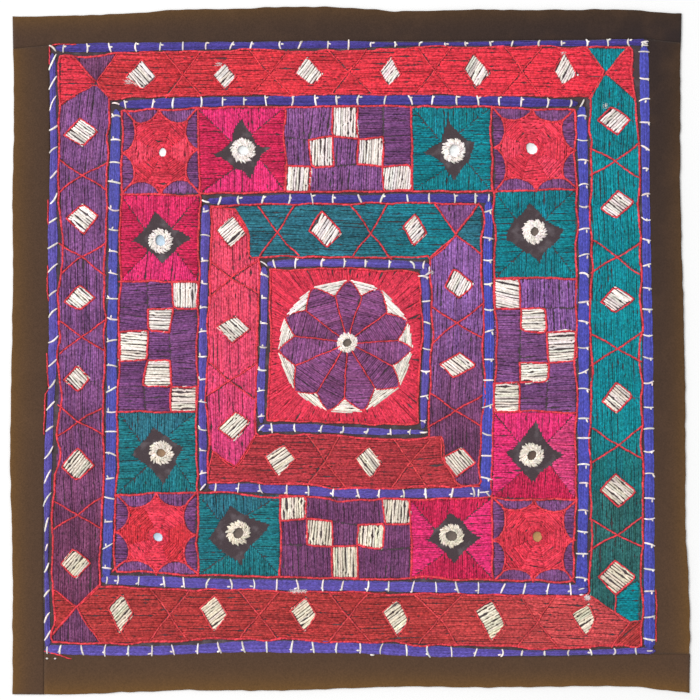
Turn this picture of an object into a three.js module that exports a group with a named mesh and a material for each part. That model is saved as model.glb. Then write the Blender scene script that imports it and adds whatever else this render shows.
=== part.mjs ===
// A square table cloth with traditional mirror-work embroidery, lying flat and face up.
// Millimetres, +Z up, +Y towards the top edge of the design, origin under the middle of the cloth.

import * as THREE from "three";

// Heights of the layers, from the table upwards
const GROUND_THICKNESS = 1.2;
const STRIP_THICKNESS = 1.8;
const CLEARANCE = 0.3;
const THREAD_BASE = GROUND_THICKNESS + CLEARANCE;
const FIELD_THICKNESS = 0.9;
const YARN_HEIGHT = 1.6;
const YARN_ROUNDING = 0.6;
const MIRROR_THICKNESS = 0.8;

// Sizes of the fitted pieces and of the bare ground around them
const MIRROR_RADIUS = 6.0;
const MIRROR_CHAMFER = 0.2;
const MIRROR_SEAT_RADIUS = 7.0;
const STAR_TIP_RADIUS = 22.0;
const STAR_WAIST_RADIUS = 11.0;
const STAR_TIPS = 4;
const ROUND_STEPS = 16;
const LINE_STEPS = 12;
const BLOCK_LINE_STEPS = 4;

// Distances from a couched frame's centre line to what lies beside it
const SEAM_OFFSET = 5.0;
const ROW_MARGIN = { outside: 6.4, inside: 5.8 };
const BLOCK_MARGIN = { outside: 6.0, inside: 5.2 };
const CENTRE_MARGIN = 6.4;
const SEAM_FALL = 3.0;

// Sides and corners run clockwise from the top side and its left corner
const SIDES = ["top", "right", "bottom", "left"];
const CORNERS = ["top_left", "top_right", "bottom_right", "bottom_left"];
const OUTWARD = [[0, 1], [1, 0], [0, -1], [-1, 0]];
const CORNER_SIGN = [[-1, 1], [1, 1], [1, -1], [-1, -1]];

// Each line has four corners, and each side bows outward by so much at even steps along it
const EDGE = {
  corners: [[-270.0, 267.2], [265.2, 269.6], [271.5, -273.6], [-270.0, -275.0]],
  bows: [
    [0.6, 2.0, 4.8, 5.6, 6.9, 6.0, 2.8, 4.0, 3.8, 3.6, 3.4],
    [-1.4, -1.8, -2.4, -2.2, -1.0, -0.8, -0.6, -1.0, -1.4, 0.4, 1.2],
    [-4.6, -5.0, -4.4, -4.6, -5.4, -4.0, -2.6, -2.6, -2.8, -1.2, 0.2],
    [0.0, 0.0, 0.6, 2.2, 1.6, 0.8, 0.0, 0.0, 0.0, -0.8, -0.8],
  ],
};

// The four frames of couched yarn, by their centre lines
const FRAMES = {
  outer: {
    width: 7.5,
    corners: [[-238.0, 241.6], [235.2, 246.4], [239.6, -240.0], [-242.0, -239.2]],
    bows: [[0.8, 0.6, 0.1], [0.4, 1.0, 1.1], [2.0, -0.6, -1.0], [0.2, -1.4, -1.8]],
  },
  second: {
    width: 9.0,
    corners: [[-186.8, 196.8], [185.6, 197.6], [185.2, -191.2], [-194.4, -184.8]],
    bows: [[2.2, 3.0, 2.6], [2.3, 1.5, 2.3], [1.4, 0.8, 0.5], [-1.3, -0.5, -0.6]],
  },
  third: {
    width: 7.5,
    corners: [[-115.2, 119.6], [110.8, 121.6], [108.8, -113.2], [-117.5, -109.2]],
    bows: [[0.7, 0.8, 0.6], [0.0, 1.8, 1.2], [2.2, 2.6, 0.4], [1.0, 1.3, 0.6]],
  },
  inner: {
    width: 6.0,
    corners: [[-68.8, 69.2], [59.6, 68.0], [58.4, -65.2], [-70.8, -62.0]],
    bows: [[1.1, 1.4, 1.0], [1.9, 2.5, 0.9], [0.6, -0.2, -0.8], [0.9, -0.4, -0.7]],
  },
};

// Thread colours of the stitched rows on each side
const ROWS = {
  outer: { between: ["outer", "second"], threads: ["red", "teal", "crimson", "purple"] },
  inner: { between: ["third", "inner"], threads: ["teal", "purple", "crimson", "red"] },
};

// Where the blocks of each side are divided, measured along that side, clockwise
const DIVIDERS = [
  [-122.0, -51.6, 49.2, 113.0],
  [128.0, 57.6, -49.0, -119.5],
  [115.0, 48.0, -55.6, -121.6],
  [-115.0, -48.8, 55.2, 124.5],
];

// The three blocks of each side, clockwise, with the centres of their mirrors
const SIDE_BLOCKS = [
  [
    { name: "star_top_left", thread: "magenta", mirror: [-85.2, 160.0] },
    { name: "checker_top", thread: "purple" },
    { name: "star_top_right", thread: "teal", mirror: [83.6, 160.0] },
  ],
  [
    { name: "star_right_upper", thread: "teal", mirror: [147.6, 95.2] },
    { name: "checker_right", thread: "purple" },
    { name: "star_right_lower", thread: "magenta", mirror: [145.2, -83.2] },
  ],
  [
    { name: "star_bottom_right", thread: "magenta", mirror: [80.4, -147.2] },
    { name: "checker_bottom", thread: "purple" },
    { name: "star_bottom_left", thread: "teal", mirror: [-89.2, -145.6] },
  ],
  [
    { name: "star_left_lower", thread: "teal", mirror: [-150.8, -81.6] },
    { name: "checker_left", thread: "purple" },
    { name: "star_left_upper", thread: "magenta", mirror: [-151.6, 88.0] },
  ],
];

// The corner blocks' mirrors, in the order of the corners, and the middle one
const ROSETTE_MIRRORS = [[-150.0, 158.4], [145.2, 161.6], [149.2, -148.8], [-154.0, -148.8]];
const CENTRE_MIRROR = [-2.8, 6.4];

const COLOURS = {
  ground: 0x46373c,
  border: 0x3a2e28,
  blue: 0x4e48ac,
  red: 0xde3c46,
  crimson: 0xa52d37,
  magenta: 0xd72d69,
  purple: 0x6e417d,
  teal: 0x0f7676,
  mirror: 0xb4bec8,
};

const cloth = new THREE.Group();

function material(colour) {
  const isMirror = colour === "mirror";
  return new THREE.MeshStandardMaterial({
    color: COLOURS[colour],
    roughness: isMirror ? 0.08 : 0.8,
    metalness: isMirror ? 1.0 : 0.0,
  });
}

function add(name, geometry, colour, base) {
  const mesh = new THREE.Mesh(geometry, material(colour));
  mesh.name = name;
  mesh.position.z = base;
  cloth.add(mesh);
}

// A corner of a line that is moved outward, or inward where the offset is negative
function corner(line, index, offset = 0) {
  const [x, y] = line.corners[index];
  const [signX, signY] = CORNER_SIGN[index];
  return new THREE.Vector2(x + signX * offset, y + signY * offset);
}

// The point at a share of the way along one side of a line, with the side's bow
function sidePoint(line, side, share, offset = 0) {
  const heights = [0, ...line.bows[side], 0].map((bow, step) => new THREE.Vector2(step, bow));
  const bow = new THREE.SplineCurve(heights).getPoint(THREE.MathUtils.clamp(share, 0, 1)).y;
  const [outX, outY] = OUTWARD[side];
  const point = corner(line, side, offset).lerp(corner(line, (side + 1) % 4, offset), share);
  return point.add(new THREE.Vector2(outX * bow, outY * bow));
}

// The share of the way along one side where it passes a coordinate of its own direction
function shareAt(line, side, coordinate, offset = 0) {
  const axis = side % 2 === 0 ? "x" : "y";
  const start = corner(line, side, offset)[axis];
  const end = corner(line, (side + 1) % 4, offset)[axis];
  return (coordinate - start) / (end - start);
}

function sideLine(line, side, { offset = 0, from = 0, to = 1, steps = LINE_STEPS } = {}) {
  const points = [];
  for (let step = 0; step <= steps; step += 1) {
    const share = THREE.MathUtils.lerp(from, to, step / steps);
    points.push(sidePoint(line, side, share, offset));
  }
  return points;
}

function closedLine(line, offset) {
  return SIDES.flatMap((_, side) => sideLine(line, side, { offset }).slice(0, -1));
}

// A flat plate with the given outline and holes
function plate(outline, holes, thickness) {
  const shape = new THREE.Shape(outline);
  shape.holes = holes.map((points) => new THREE.Path(points));
  return new THREE.ExtrudeGeometry(shape, { depth: thickness, bevelEnabled: false });
}

function circle([x, y], radius, steps = ROUND_STEPS) {
  const points = [];
  for (let step = 0; step < steps; step += 1) {
    const angle = (2 * Math.PI * step) / steps;
    points.push(new THREE.Vector2(x + radius * Math.cos(angle), y + radius * Math.sin(angle)));
  }
  return points;
}

// The bare star around a mirror: tips up, down and to the sides, drawn in between them
function star([x, y]) {
  return circle([0, 0], 1, 2 * STAR_TIPS).map((direction, index) => {
    const radius = index % 2 === 0 ? STAR_TIP_RADIUS : STAR_WAIST_RADIUS;
    return new THREE.Vector2(x + radius * direction.x, y + radius * direction.y);
  });
}

function addMirror(name, [x, y]) {
  const rim = MIRROR_RADIUS - MIRROR_CHAMFER;
  const profile = [
    new THREE.Vector2(0, 0),
    new THREE.Vector2(MIRROR_RADIUS, 0),
    new THREE.Vector2(MIRROR_RADIUS, MIRROR_THICKNESS - MIRROR_CHAMFER),
    new THREE.Vector2(rim, MIRROR_THICKNESS),
    new THREE.Vector2(0, MIRROR_THICKNESS),
  ];
  const disc = new THREE.LatheGeometry(profile, ROUND_STEPS);
  disc.rotateX(Math.PI / 2);
  disc.translate(x, y, 0);
  add(name, disc, "mirror", THREAD_BASE);
}

function addGround() {
  const outline = closedLine(FRAMES.outer, SEAM_OFFSET - CLEARANCE / 2);
  add("ground_cloth", plate(outline, [], GROUND_THICKNESS), "ground", 0);
}

// The seam between two border strips runs from a corner of the ground out to the cloth's edge
function seamEnd(index, side, shift) {
  const { x, y } = corner(FRAMES.outer, index, SEAM_OFFSET);
  const isLevel = side % 2 === 1;
  const coordinate = (isLevel ? y : x) + shift;
  return sidePoint(EDGE, side, shareAt(EDGE, side, coordinate));
}

// Part of the cloth's edge, from a point on one side to a point on the same side
function edgeBetween(side, start, end) {
  const axis = side % 2 === 0 ? "x" : "y";
  return sideLine(EDGE, side, {
    from: shareAt(EDGE, side, start[axis]),
    to: shareAt(EDGE, side, end[axis]),
  });
}

// Four border strips: the top one lies over both upper corners, the left one runs down to the
// bottom edge, and the bottom one runs out to the right edge
function addBorder() {
  const half = CLEARANCE / 2;
  const seam = (side) => sideLine(FRAMES.outer, side, { offset: SEAM_OFFSET + half }).reverse();
  const [topLeft, topRight, bottomRight, bottomLeft] = CORNERS.map((_, i) => corner(EDGE, i));
  const leftSeam = (shift) => seamEnd(0, 3, shift - SEAM_FALL);
  const rightSeam = (shift) => seamEnd(1, 1, shift - SEAM_FALL);
  const lowerSeam = (shift) => seamEnd(2, 1, shift);
  const footSeam = (shift) => seamEnd(3, 2, shift);
  const meeting = (index, x, y) => corner(FRAMES.outer, index, SEAM_OFFSET + half)
    .add(new THREE.Vector2(x, y));

  const strips = {
    top: [
      ...edgeBetween(0, topLeft, topRight),
      rightSeam(half),
      ...seam(0),
      leftSeam(half),
    ],
    right: [
      ...edgeBetween(1, rightSeam(-half), lowerSeam(half)),
      meeting(2, 0, CLEARANCE),
      ...seam(1).slice(1, -1),
      meeting(1, 0, -CLEARANCE),
    ],
    bottom: [
      ...edgeBetween(1, lowerSeam(-half), bottomRight),
      ...edgeBetween(2, bottomRight, footSeam(half)).slice(1),
      meeting(3, CLEARANCE, 0),
      ...seam(2).slice(1),
    ],
    left: [
      ...edgeBetween(2, footSeam(-half), bottomLeft),
      ...edgeBetween(3, bottomLeft, leftSeam(-half)).slice(1),
      meeting(0, 0, -CLEARANCE),
      ...seam(3).slice(1),
    ],
  };
  for (const [side, outline] of Object.entries(strips)) {
    add(`border_${side}`, plate(outline, [], STRIP_THICKNESS), "border", 0);
  }
}

// One side of a couched frame: top and bottom run into the corners, the sides stop short of them
function addCouchedSide(frameName, side) {
  const frame = FRAMES[frameName];
  const reach = frame.width / 2;
  const isLevel = side % 2 === 0;
  const length = corner(frame, side).distanceTo(corner(frame, (side + 1) % 4));
  const trim = (isLevel ? -reach : reach + CLEARANCE) / length;
  const outward = sideLine(frame, side, { from: trim, to: 1 - trim });
  const [outX, outY] = OUTWARD[side];
  const shifted = (point, distance) => new THREE.Vector2(
    point.x + outX * distance,
    point.y + outY * distance,
  );
  const outline = [
    ...outward.map((point) => shifted(point, reach)),
    ...outward.map((point) => shifted(point, -reach)).reverse(),
  ];
  const bar = new THREE.ExtrudeGeometry(new THREE.Shape(outline), {
    depth: YARN_HEIGHT - 2 * YARN_ROUNDING,
    bevelSize: YARN_ROUNDING,
    bevelOffset: -YARN_ROUNDING,
    bevelThickness: YARN_ROUNDING,
    bevelSegments: 1,
  });
  add(`couched_${frameName}_${SIDES[side]}`, bar, "blue", THREAD_BASE + YARN_ROUNDING);
}

// One side of a stitched row, mitred against its neighbours at the corners
function addRowSide(rowName, side) {
  const { between: [outerName, innerName], threads } = ROWS[rowName];
  const outerLine = { line: FRAMES[outerName], offset: -ROW_MARGIN.outside };
  const innerLine = { line: FRAMES[innerName], offset: ROW_MARGIN.inside };
  const mitred = ({ line, offset }) => {
    const start = corner(line, side, offset);
    const length = start.distanceTo(corner(line, (side + 1) % 4, offset));
    const trim = CLEARANCE / length;
    return sideLine(line, side, { offset, from: trim, to: 1 - trim });
  };
  const outline = [...mitred(outerLine), ...mitred(innerLine).reverse()];
  add(`row_${rowName}_${SIDES[side]}`, plate(outline, [], FIELD_THICKNESS), threads[side], THREAD_BASE);
}

// Part of a side of the block band, between two places measured along that side
function blockLine(which, side, start, end) {
  const line = which === "outside" ? FRAMES.second : FRAMES.third;
  const offset = which === "outside" ? -BLOCK_MARGIN.outside : BLOCK_MARGIN.inside;
  const share = (coordinate) => THREE.MathUtils.clamp(shareAt(line, side, coordinate, offset), 0, 1);
  return sideLine(line, side, { offset, from: share(start), to: share(end), steps: BLOCK_LINE_STEPS });
}

// The direction, +1 or -1, in which a side's own coordinate runs when followed clockwise
function runOf(side) {
  return side === 0 || side === 3 ? 1 : -1;
}

function addSideBlocks(side) {
  const run = runOf(side);
  SIDE_BLOCKS[side].forEach(({ name, thread, mirror }, index) => {
    const start = DIVIDERS[side][index] + (run * CLEARANCE) / 2;
    const end = DIVIDERS[side][index + 1] - (run * CLEARANCE) / 2;
    const outline = [
      ...blockLine("outside", side, start, end),
      ...blockLine("inside", side, end, start),
    ];
    const holes = mirror ? [star(mirror)] : [];
    add(name, plate(outline, holes, FIELD_THICKNESS), thread, THREAD_BASE);
    if (mirror) {
      addMirror(`mirror_${name}`, mirror);
    }
  });
}

function addRosette(index) {
  const before = (index + 3) % 4;
  const line = FRAMES.second;
  const offset = -BLOCK_MARGIN.outside;
  const arriving = DIVIDERS[before][3] + (runOf(before) * CLEARANCE) / 2;
  const leaving = DIVIDERS[index][0] - (runOf(index) * CLEARANCE) / 2;
  const outline = [
    ...sideLine(line, before, { offset, from: shareAt(line, before, arriving, offset), to: 1 }),
    ...sideLine(line, index, { offset, from: 0, to: shareAt(line, index, leaving, offset) }).slice(1),
    corner(FRAMES.third, index, BLOCK_MARGIN.inside + CLEARANCE),
  ];
  const centre = ROSETTE_MIRRORS[index];
  const name = `rosette_${CORNERS[index]}`;
  const geometry = plate(outline, [circle(centre, MIRROR_SEAT_RADIUS)], FIELD_THICKNESS);
  add(name, geometry, "red", THREAD_BASE);
  addMirror(`mirror_${name}`, centre);
}

function addCentre() {
  const outline = closedLine(FRAMES.inner, -CENTRE_MARGIN);
  const seat = circle(CENTRE_MIRROR, MIRROR_SEAT_RADIUS);
  add("centre_flower", plate(outline, [seat], FIELD_THICKNESS), "red", THREAD_BASE);
  addMirror("mirror_centre", CENTRE_MIRROR);
}

addGround();
addBorder();
SIDES.forEach((_, side) => {
  Object.keys(FRAMES).forEach((name) => addCouchedSide(name, side));
  Object.keys(ROWS).forEach((name) => addRowSide(name, side));
  addSideBlocks(side);
  addRosette(side);
});
addCentre();

export default cloth;
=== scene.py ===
"""A square table cloth in traditional mirror-work embroidery, lying flat and face up.

Sizes are in millimetres until a mesh is made. Sides and corners run clockwise from the top side and
its left corner, so a row of a table that lists them starts at the top or at the top left. A strand is
one length of floss or yarn that lies on the cloth.
"""
import math
from collections import namedtuple

import bpy
import numpy as np
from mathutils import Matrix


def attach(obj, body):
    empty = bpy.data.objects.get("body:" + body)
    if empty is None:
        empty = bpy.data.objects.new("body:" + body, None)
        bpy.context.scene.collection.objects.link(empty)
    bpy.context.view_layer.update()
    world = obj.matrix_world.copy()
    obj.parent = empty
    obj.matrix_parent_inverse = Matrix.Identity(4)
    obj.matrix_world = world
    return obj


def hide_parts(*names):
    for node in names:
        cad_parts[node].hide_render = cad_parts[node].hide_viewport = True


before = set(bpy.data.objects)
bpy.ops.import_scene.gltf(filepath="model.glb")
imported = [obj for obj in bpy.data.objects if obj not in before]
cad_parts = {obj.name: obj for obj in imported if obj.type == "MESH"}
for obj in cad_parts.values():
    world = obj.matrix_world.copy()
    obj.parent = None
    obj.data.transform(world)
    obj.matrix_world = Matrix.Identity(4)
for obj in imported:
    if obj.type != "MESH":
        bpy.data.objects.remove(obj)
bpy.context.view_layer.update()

MM = 0.001
BODY = "root"

# Heights of the layers, from the table upwards
GROUND_TOP = 1.2
STRIP_TOP = 1.8
FIELD_BASE = GROUND_TOP - 0.1
LINE_BASE = GROUND_TOP + 0.3
MIRROR_BASE = GROUND_TOP + 0.05
MIRROR_TOP = MIRROR_BASE + 0.6
YARN_BASE = GROUND_TOP + 0.1

# Distances from a couched frame's centre line to what lies beside it, for each side where they differ
SEAM_OFFSET = 2.8
OUTER_ROW_INSIDE = np.array((5.2, 6.2, 5.4, 6.0))
BLOCK_OUTSIDE = np.array((4.8, 6.0, 6.4, 5.3))
BLOCK_INSIDE = np.array((6.0, 4.7, 4.7, 4.8))
INNER_ROW_OUTSIDE = np.array((4.5, 5.0, 4.6, 4.2))
INNER_ROW_INSIDE = np.array((5.2, 4.4, 5.4, 4.4))
CENTRE_MARGIN = np.array((4.9, 4.3, 5.8, 5.6))
SEAM_FALL = 3.0

SIDES = ("top", "right", "bottom", "left")
CORNERS = ("top_left", "top_right", "bottom_right", "bottom_left")
OUTWARD = np.array([(0, 1), (1, 0), (0, -1), (-1, 0)], float)
CORNER_SIGN = np.array([(-1, 1), (1, 1), (1, -1), (-1, -1)], float)

# The way that a side's own coordinate runs when the side is followed clockwise
RUN = (1, -1, -1, 1)

# Colours of thread and cloth, as they look in even light, 0 to 255
COLOURS = {
    "red": (224, 56, 74),
    "dull_red": (205, 55, 63),
    "bright_red": (241, 57, 77),
    "rose": (234, 78, 107),
    "soft_red": (222, 56, 81),
    "web_dull": (209, 51, 63),
    # web_dull to web_light: painted sheen, lit and shaded copies of one red for the rosette sectors
    "web_red": (221, 57, 78),
    "web_warm": (232, 63, 85),
    "web_light": (238, 71, 96),
    "crimson": (180, 58, 58),
    "light_crimson": (209, 80, 83),
    # magenta to deep_magenta: painted sheen, lighter and deeper copies of one magenta for the star fields;
    # dusk_magenta also colours a row
    "deep_crimson": (181, 57, 66),
    "magenta": (230, 50, 118),
    "dusk_magenta": (219, 69, 126),
    "mid_magenta": (224, 46, 104),
    "deep_magenta": (204, 36, 84),
    # Purples: several serve as painted sheen, lighter and deeper copies of one purple for the checkers and
    # the half moons; others colour rows and petals
    "purple": (129, 79, 133),
    "light_purple": (136, 84, 141),
    "pale_purple": (147, 98, 167),
    "petal_purple": (143, 81, 134),
    "deep_purple": (120, 70, 123),
    "dark_purple": (118, 65, 109),
    "plum": (117, 65, 105),
    "wine_purple": (117, 60, 93),
    "teal": (0, 139, 151),
    "deep_teal": (45, 102, 101),
    # star_teal, soft_teal and dull_teal: painted sheen, lighter and deeper copies of one teal for the star
    # fields; star_teal and dull_teal also colour rows
    "star_teal": (8, 130, 143),
    "soft_teal": (28, 119, 129),
    "dull_teal": (45, 112, 129),
    "white": (251, 241, 235),
    "cream": (236, 224, 202),
    "tuft": (246, 232, 230),
    "line_red": (226, 66, 78),
    "line_faded": (214, 72, 78),
    "dusk_blue": (76, 64, 150),
    "clear_blue": (80, 82, 184),
    "soft_blue": (88, 86, 178),
    "pale_blue": (96, 82, 170),
    "ground": (75, 63, 67),
    "ground_worn": (130, 120, 125),
    "border": (46, 36, 36),
    "border_worn": (108, 79, 55),
    "border_brown": (116, 80, 14),
    "seam_thread": (118, 102, 94),
}
# The colour that each mirror shows: partly its own tint and tarnish, partly painted reflection laid into the
# glass's colour
MIRROR_TINTS = {
    "bright": (252, 255, 255),
    "blue": (196, 216, 232),
    "brown": (100, 80, 68),
    "tan": (156, 124, 96),
    "brass": (190, 142, 90),
    "sky": (204, 224, 242),
    "grey": (112, 98, 90),
}


def linear(colour):
    """A colour, by name or from 0 to 255, as the shader takes it."""
    share = np.asarray(COLOURS[colour] if isinstance(colour, str) else colour, float) / 255
    return np.where(share <= 0.04045, share / 12.92, ((share + 0.055) / 1.055) ** 2.4)


def blend_tones(start, end, low, high, axis):
    """A thread colour that changes along an axis between two places."""
    first, last = np.array(COLOURS[start], float), np.array(COLOURS[end], float)

    def tone(point):
        return tuple(first + np.clip((point[axis] - low) / (high - low), 0, 1) * (last - first))

    return tone


# The white floss has yellowed towards the lower edge
WHITE_FLOSS = blend_tones("cream", "white", -210, 40, 1)


# Lines round the cloth

def smooth_between(values, share):
    """A smooth curve through values at even steps, at each share of the way along."""
    values = np.asarray(values, float)
    last = len(values) - 1
    place = np.clip(share, 0, 1) * last
    step = np.clip(np.floor(place).astype(int), 0, last - 1)
    part = place - step
    before, here = values[np.maximum(step - 1, 0)], values[step]
    there, after = values[step + 1], values[np.minimum(step + 2, last)]
    slope_here, slope_there = (there - before) / 2, (after - here) / 2
    bend = 2 * here - 2 * there + slope_here + slope_there
    lean = 3 * there - 3 * here - 2 * slope_here - slope_there
    return ((bend * part + lean) * part + slope_here) * part + here


class Line:
    """A square line round the cloth: four corners, and how far each side bows outward at even steps."""

    def __init__(self, corners, bows):
        self.corners = np.array(corners, float)
        self.bows = [(0, *bow, 0) for bow in bows]

    def corner(self, index, offset=0.0):
        """A corner, once its sides are moved outward by an offset, or by one for each side."""
        index = index % 4
        before, after = np.broadcast_to(offset, 4)[[index - 1, index]]
        move = (after, before) if index % 2 else (before, after)
        return self.corners[index] + CORNER_SIGN[index] * move

    def point(self, side, share, offset=0.0):
        start = self.corner(side, offset)
        end = self.corner(side + 1, offset)
        bow = smooth_between(self.bows[side], share)
        return start + np.multiply.outer(share, end - start) + np.multiply.outer(bow, OUTWARD[side])

    def share(self, side, coordinate, offset=0.0):
        start = self.corner(side, offset)[side % 2]
        end = self.corner(side + 1, offset)[side % 2]
        return (np.asarray(coordinate, float) - start) / (end - start)

    def at(self, side, coordinate, offset=0.0):
        """The point of a side where it passes a coordinate of its own direction."""
        return self.point(side, self.share(side, coordinate, offset), offset)

    def side(self, side, offset=0.0, steps=12):
        return self.point(side, np.linspace(0, 1, steps + 1), offset)

    def loop(self, offset=0.0):
        return np.concatenate([self.side(side, offset)[:-1] for side in range(4)])


EDGE = Line(
    [(-270.0, 267.2), (265.2, 269.6), (271.5, -273.6), (-270.0, -275.0)],
    [
        (0.6, 2.0, 4.8, 5.6, 6.9, 6.0, 2.8, 4.0, 3.8, 3.6, 3.4),
        (-1.4, -1.8, -2.4, -2.2, -1.0, -0.8, -0.6, -1.0, -1.4, 0.4, 1.2),
        (-4.6, -5.0, -4.4, -4.6, -5.4, -4.0, -2.6, -2.6, -2.8, -1.2, 0.2),
        (0.0, 0.0, 0.6, 2.2, 1.6, 0.8, 0.0, 0.0, 0.0, -0.8, -0.8),
    ],
)
FRAMES = {
    "outer": Line(
        [(-238.0, 241.6), (235.2, 246.4), (239.6, -240.0), (-242.0, -239.2)],
        [(0.8, 0.6, 0.1), (0.4, 1.0, 1.1), (2.2, 1.3, -1.8, -2.4, 0.9), (1.4, 0.4, -2.4, -1.5, -1.6)],
    ),
    "second": Line(
        [(-186.8, 196.8), (185.6, 197.6), (185.2, -191.2), (-194.8, -183.2)],
        [(2.2, 3.0, 2.6), (1.8, 1.4, 1.8), (0.6, 1.0, 1.6), (-1.3, -0.5, 0.2)],
    ),
    "third": Line(
        [(-115.2, 119.6), (110.8, 121.6), (108.8, -113.2), (-117.5, -109.2)],
        [(0.7, 0.8, 0.6), (0.2, 1.6, 0.6), (2.2, 2.6, 0.6), (1.0, 1.3, 0.6)],
    ),
    "inner": Line(
        [(-68.8, 69.2), (59.6, 68.0), (58.4, -65.2), (-70.8, -62.0)],
        [(1.1, 1.4, 1.0), (1.9, 2.5, 0.9), (0.6, -0.2, -0.8), (0.9, -0.4, -0.7)],
    ),
}

# The outer edge of the outer stitched row
ROW_EDGE = Line(
    [(-232.0, 235.2), (225.6, 242.0), (233.6, -236.4), (-236.8, -233.6)],
    [(2.8, 2.0, 1.2, 2.8, 1.6), (3.4, 3.6, 3.4, 1.8, 1.8), (2.1, -1.0, -2.2, -4.6, -0.5),
     (2.0, -1.4, -1.6, -2.0, -0.8)],
)


def resample(points, count):
    """Points at even steps along a polyline."""
    points = np.asarray(points, float)
    steps = np.hypot(*np.diff(points, axis=0).T)
    walked = np.concatenate([[0], np.cumsum(steps)])
    places = np.linspace(0, walked[-1], count)
    return np.stack([np.interp(places, walked, points[:, axis]) for axis in range(2)], axis=1)


def polyline_length(points):
    return np.hypot(*np.diff(np.asarray(points, float), axis=0).T).sum()


def heading(vector):
    """The direction of a vector in degrees."""
    return math.degrees(math.atan2(vector[1], vector[0]))


def polar(centre, radius, degrees):
    angle = math.radians(degrees)
    return np.asarray(centre, float) + radius * np.array([math.cos(angle), math.sin(angle)])


def bezier(controls, steps=12):
    """Points of the curve that four control points give."""
    share = np.linspace(0, 1, steps + 1)[:, None]
    weights = ((1 - share) ** 3, 3 * share * (1 - share) ** 2, 3 * share ** 2 * (1 - share), share ** 3)
    return sum(weight * np.asarray(control) for weight, control in zip(weights, controls))


def left_of(vector):
    """A vector turned a quarter to its left."""
    return np.array([-vector[1], vector[0]])


def bilinear(corners, across, down):
    """What lies between four corners, clockwise from the upper left, at shares across and down."""
    upper_left, upper_right, lower_right, lower_left = corners
    upper = (1 - across) * upper_left + across * upper_right
    lower = (1 - across) * lower_left + across * lower_right
    return (1 - down) * upper + down * lower


def grown(points, factor):
    """A shape made larger about its middle."""
    points = np.array(points, float)
    middle = points.mean(axis=0)
    return middle + factor * (points - middle)


def seeded(name):
    """Random numbers of a piece's own, always the same for its name."""
    return np.random.default_rng([ord(letter) for letter in name])


def varied(rng, spread, low, high, count=None):
    """Random factors round 1 with a spread, kept between two limits."""
    return np.clip(rng.normal(1, spread, count), low, high)


def drift(rng, count, reach, span):
    """A smooth random course of numbers, about as large as reach, that turns every few steps."""
    kernel = np.hanning(span + 2)[1:-1]
    kernel = kernel / np.linalg.norm(kernel)
    return reach * np.convolve(rng.normal(0, 1, count + span - 1), kernel, mode="valid")


def ripple(points, seed, lengths=(95.0, 61.0, 43.0, 29.0, 17.0)):
    """Soft unevenness, from -1 to 1: a few long waves across each other."""
    rng = np.random.default_rng(seed)
    height = np.zeros(points.shape[:-1])
    for length in lengths:
        angle = rng.uniform(0, 2 * math.pi)
        reach = points[..., 0] * math.cos(angle) + points[..., 1] * math.sin(angle)
        height += np.sin(2 * math.pi * reach / length + rng.uniform(0, 2 * math.pi)) / 3
    return np.clip(height, -1, 1)


# Strands and stitches

# A kind of stitch: its size, how slack it lies, the slits for each millimetre and how far they open
Stitch = namedtuple("Stitch", "pitch width height slack slits opening")
SATIN = Stitch(1.42, 1.88, 0.64, 0.12, 0.060, 0.30)
LOOSE_SATIN = Stitch(1.46, 1.88, 0.66, 0.16, 0.080, 0.34)
COARSE_SATIN = Stitch(1.75, 2.05, 0.74, 0.28, 0.130, 0.5)
IVORY = Stitch(1.98, 1.94, 0.9, 0.28, 0.11, 0.85)
FINE_IVORY = Stitch(1.25, 1.5, 0.7, 0.08, 0.05, 0.4)
LINE = Stitch(5.0, 1.8, 0.85, 0.10, 0.0, 0.0)
MIDDLE_LINE = Stitch(4.8, 1.45, 0.75, 0.10, 0.0, 0.0)
THIN_LINE = Stitch(4.6, 1.15, 0.66, 0.10, 0.0, 0.0)
RING = Stitch(1.2, 1.55, 0.7, 0.20, 0.0, 0.0)
TIE = Stitch(1.0, 1.55, 0.85, 0.15, 0.0, 0.0)
FIBRE = Stitch(1.0, 0.42, 0.16, 0.4, 0.0, 0.0)
SEAM = Stitch(2.6, 0.5, 0.3, 0.1, 0.0, 0.0)

# Stitches longer than the first of these are as slack as they get, and longer than the second are two
LONG_STITCH = 18.0
LONGEST_STITCH = 46.0
SHORTEST_STITCH = 1.0
MOST_SLACK = 1.5
# Where two stitches meet: how far they lap, how far off the ends of the line, and how uneven it is
MEET_LAP = 0.6
MEET_MARGIN = 6.0
MEET_SPREAD = 0.7
# The points of a stitch, and how its ends go down into the cloth
POINT_STEP = 8.0
LEAST_STEP = 0.5
TUCK = 1.3
MOST_TUCK = 0.3
PUSH_REACH = 1.2
SECTION = np.linspace(0, math.pi, 4)
END_DIVE = 0.45
END_TAPER = 0.5
# How uneven the work is: sizes, places of needle holes along and across the stitch, and colours; with them
# the painted sheen, soft lighter and darker patches laid into the strands' colour
WIDTH_SPREAD = 0.07
HEIGHT_SPREAD = 0.08
PITCH_SPREAD = 0.08
HOLE_SPREAD = (0.35, 0.14)
SHADE_SPREAD = 0.12
HUE_SPREAD = 0.025
# Painted sheen: how far soft patches over a piece lighten and darken its strands, most on purple and teal,
# and the lengths and seed of their waves
PAINTED_SHEEN = 0.09
STRONG_PAINTED_SHEEN = {"purple_thread": 0.25, "teal_thread": 0.18}
PAINTED_SHEEN_LENGTHS = (67.0, 37.0, 23.0, 15.0, 9.0)
PAINTED_SHEEN_SEED = 7
# Slits between stitches: half their length, over the least, how far they open, and where they come
SLIT_LENGTH = 0.8
LEAST_SLIT = 0.5
SLIT_OPENINGS = (0.5, 1.7)
SLIT_LENGTHS = (31.0, 23.0, 17.0, 11.0)
SLIT_SEED = 5
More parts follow.
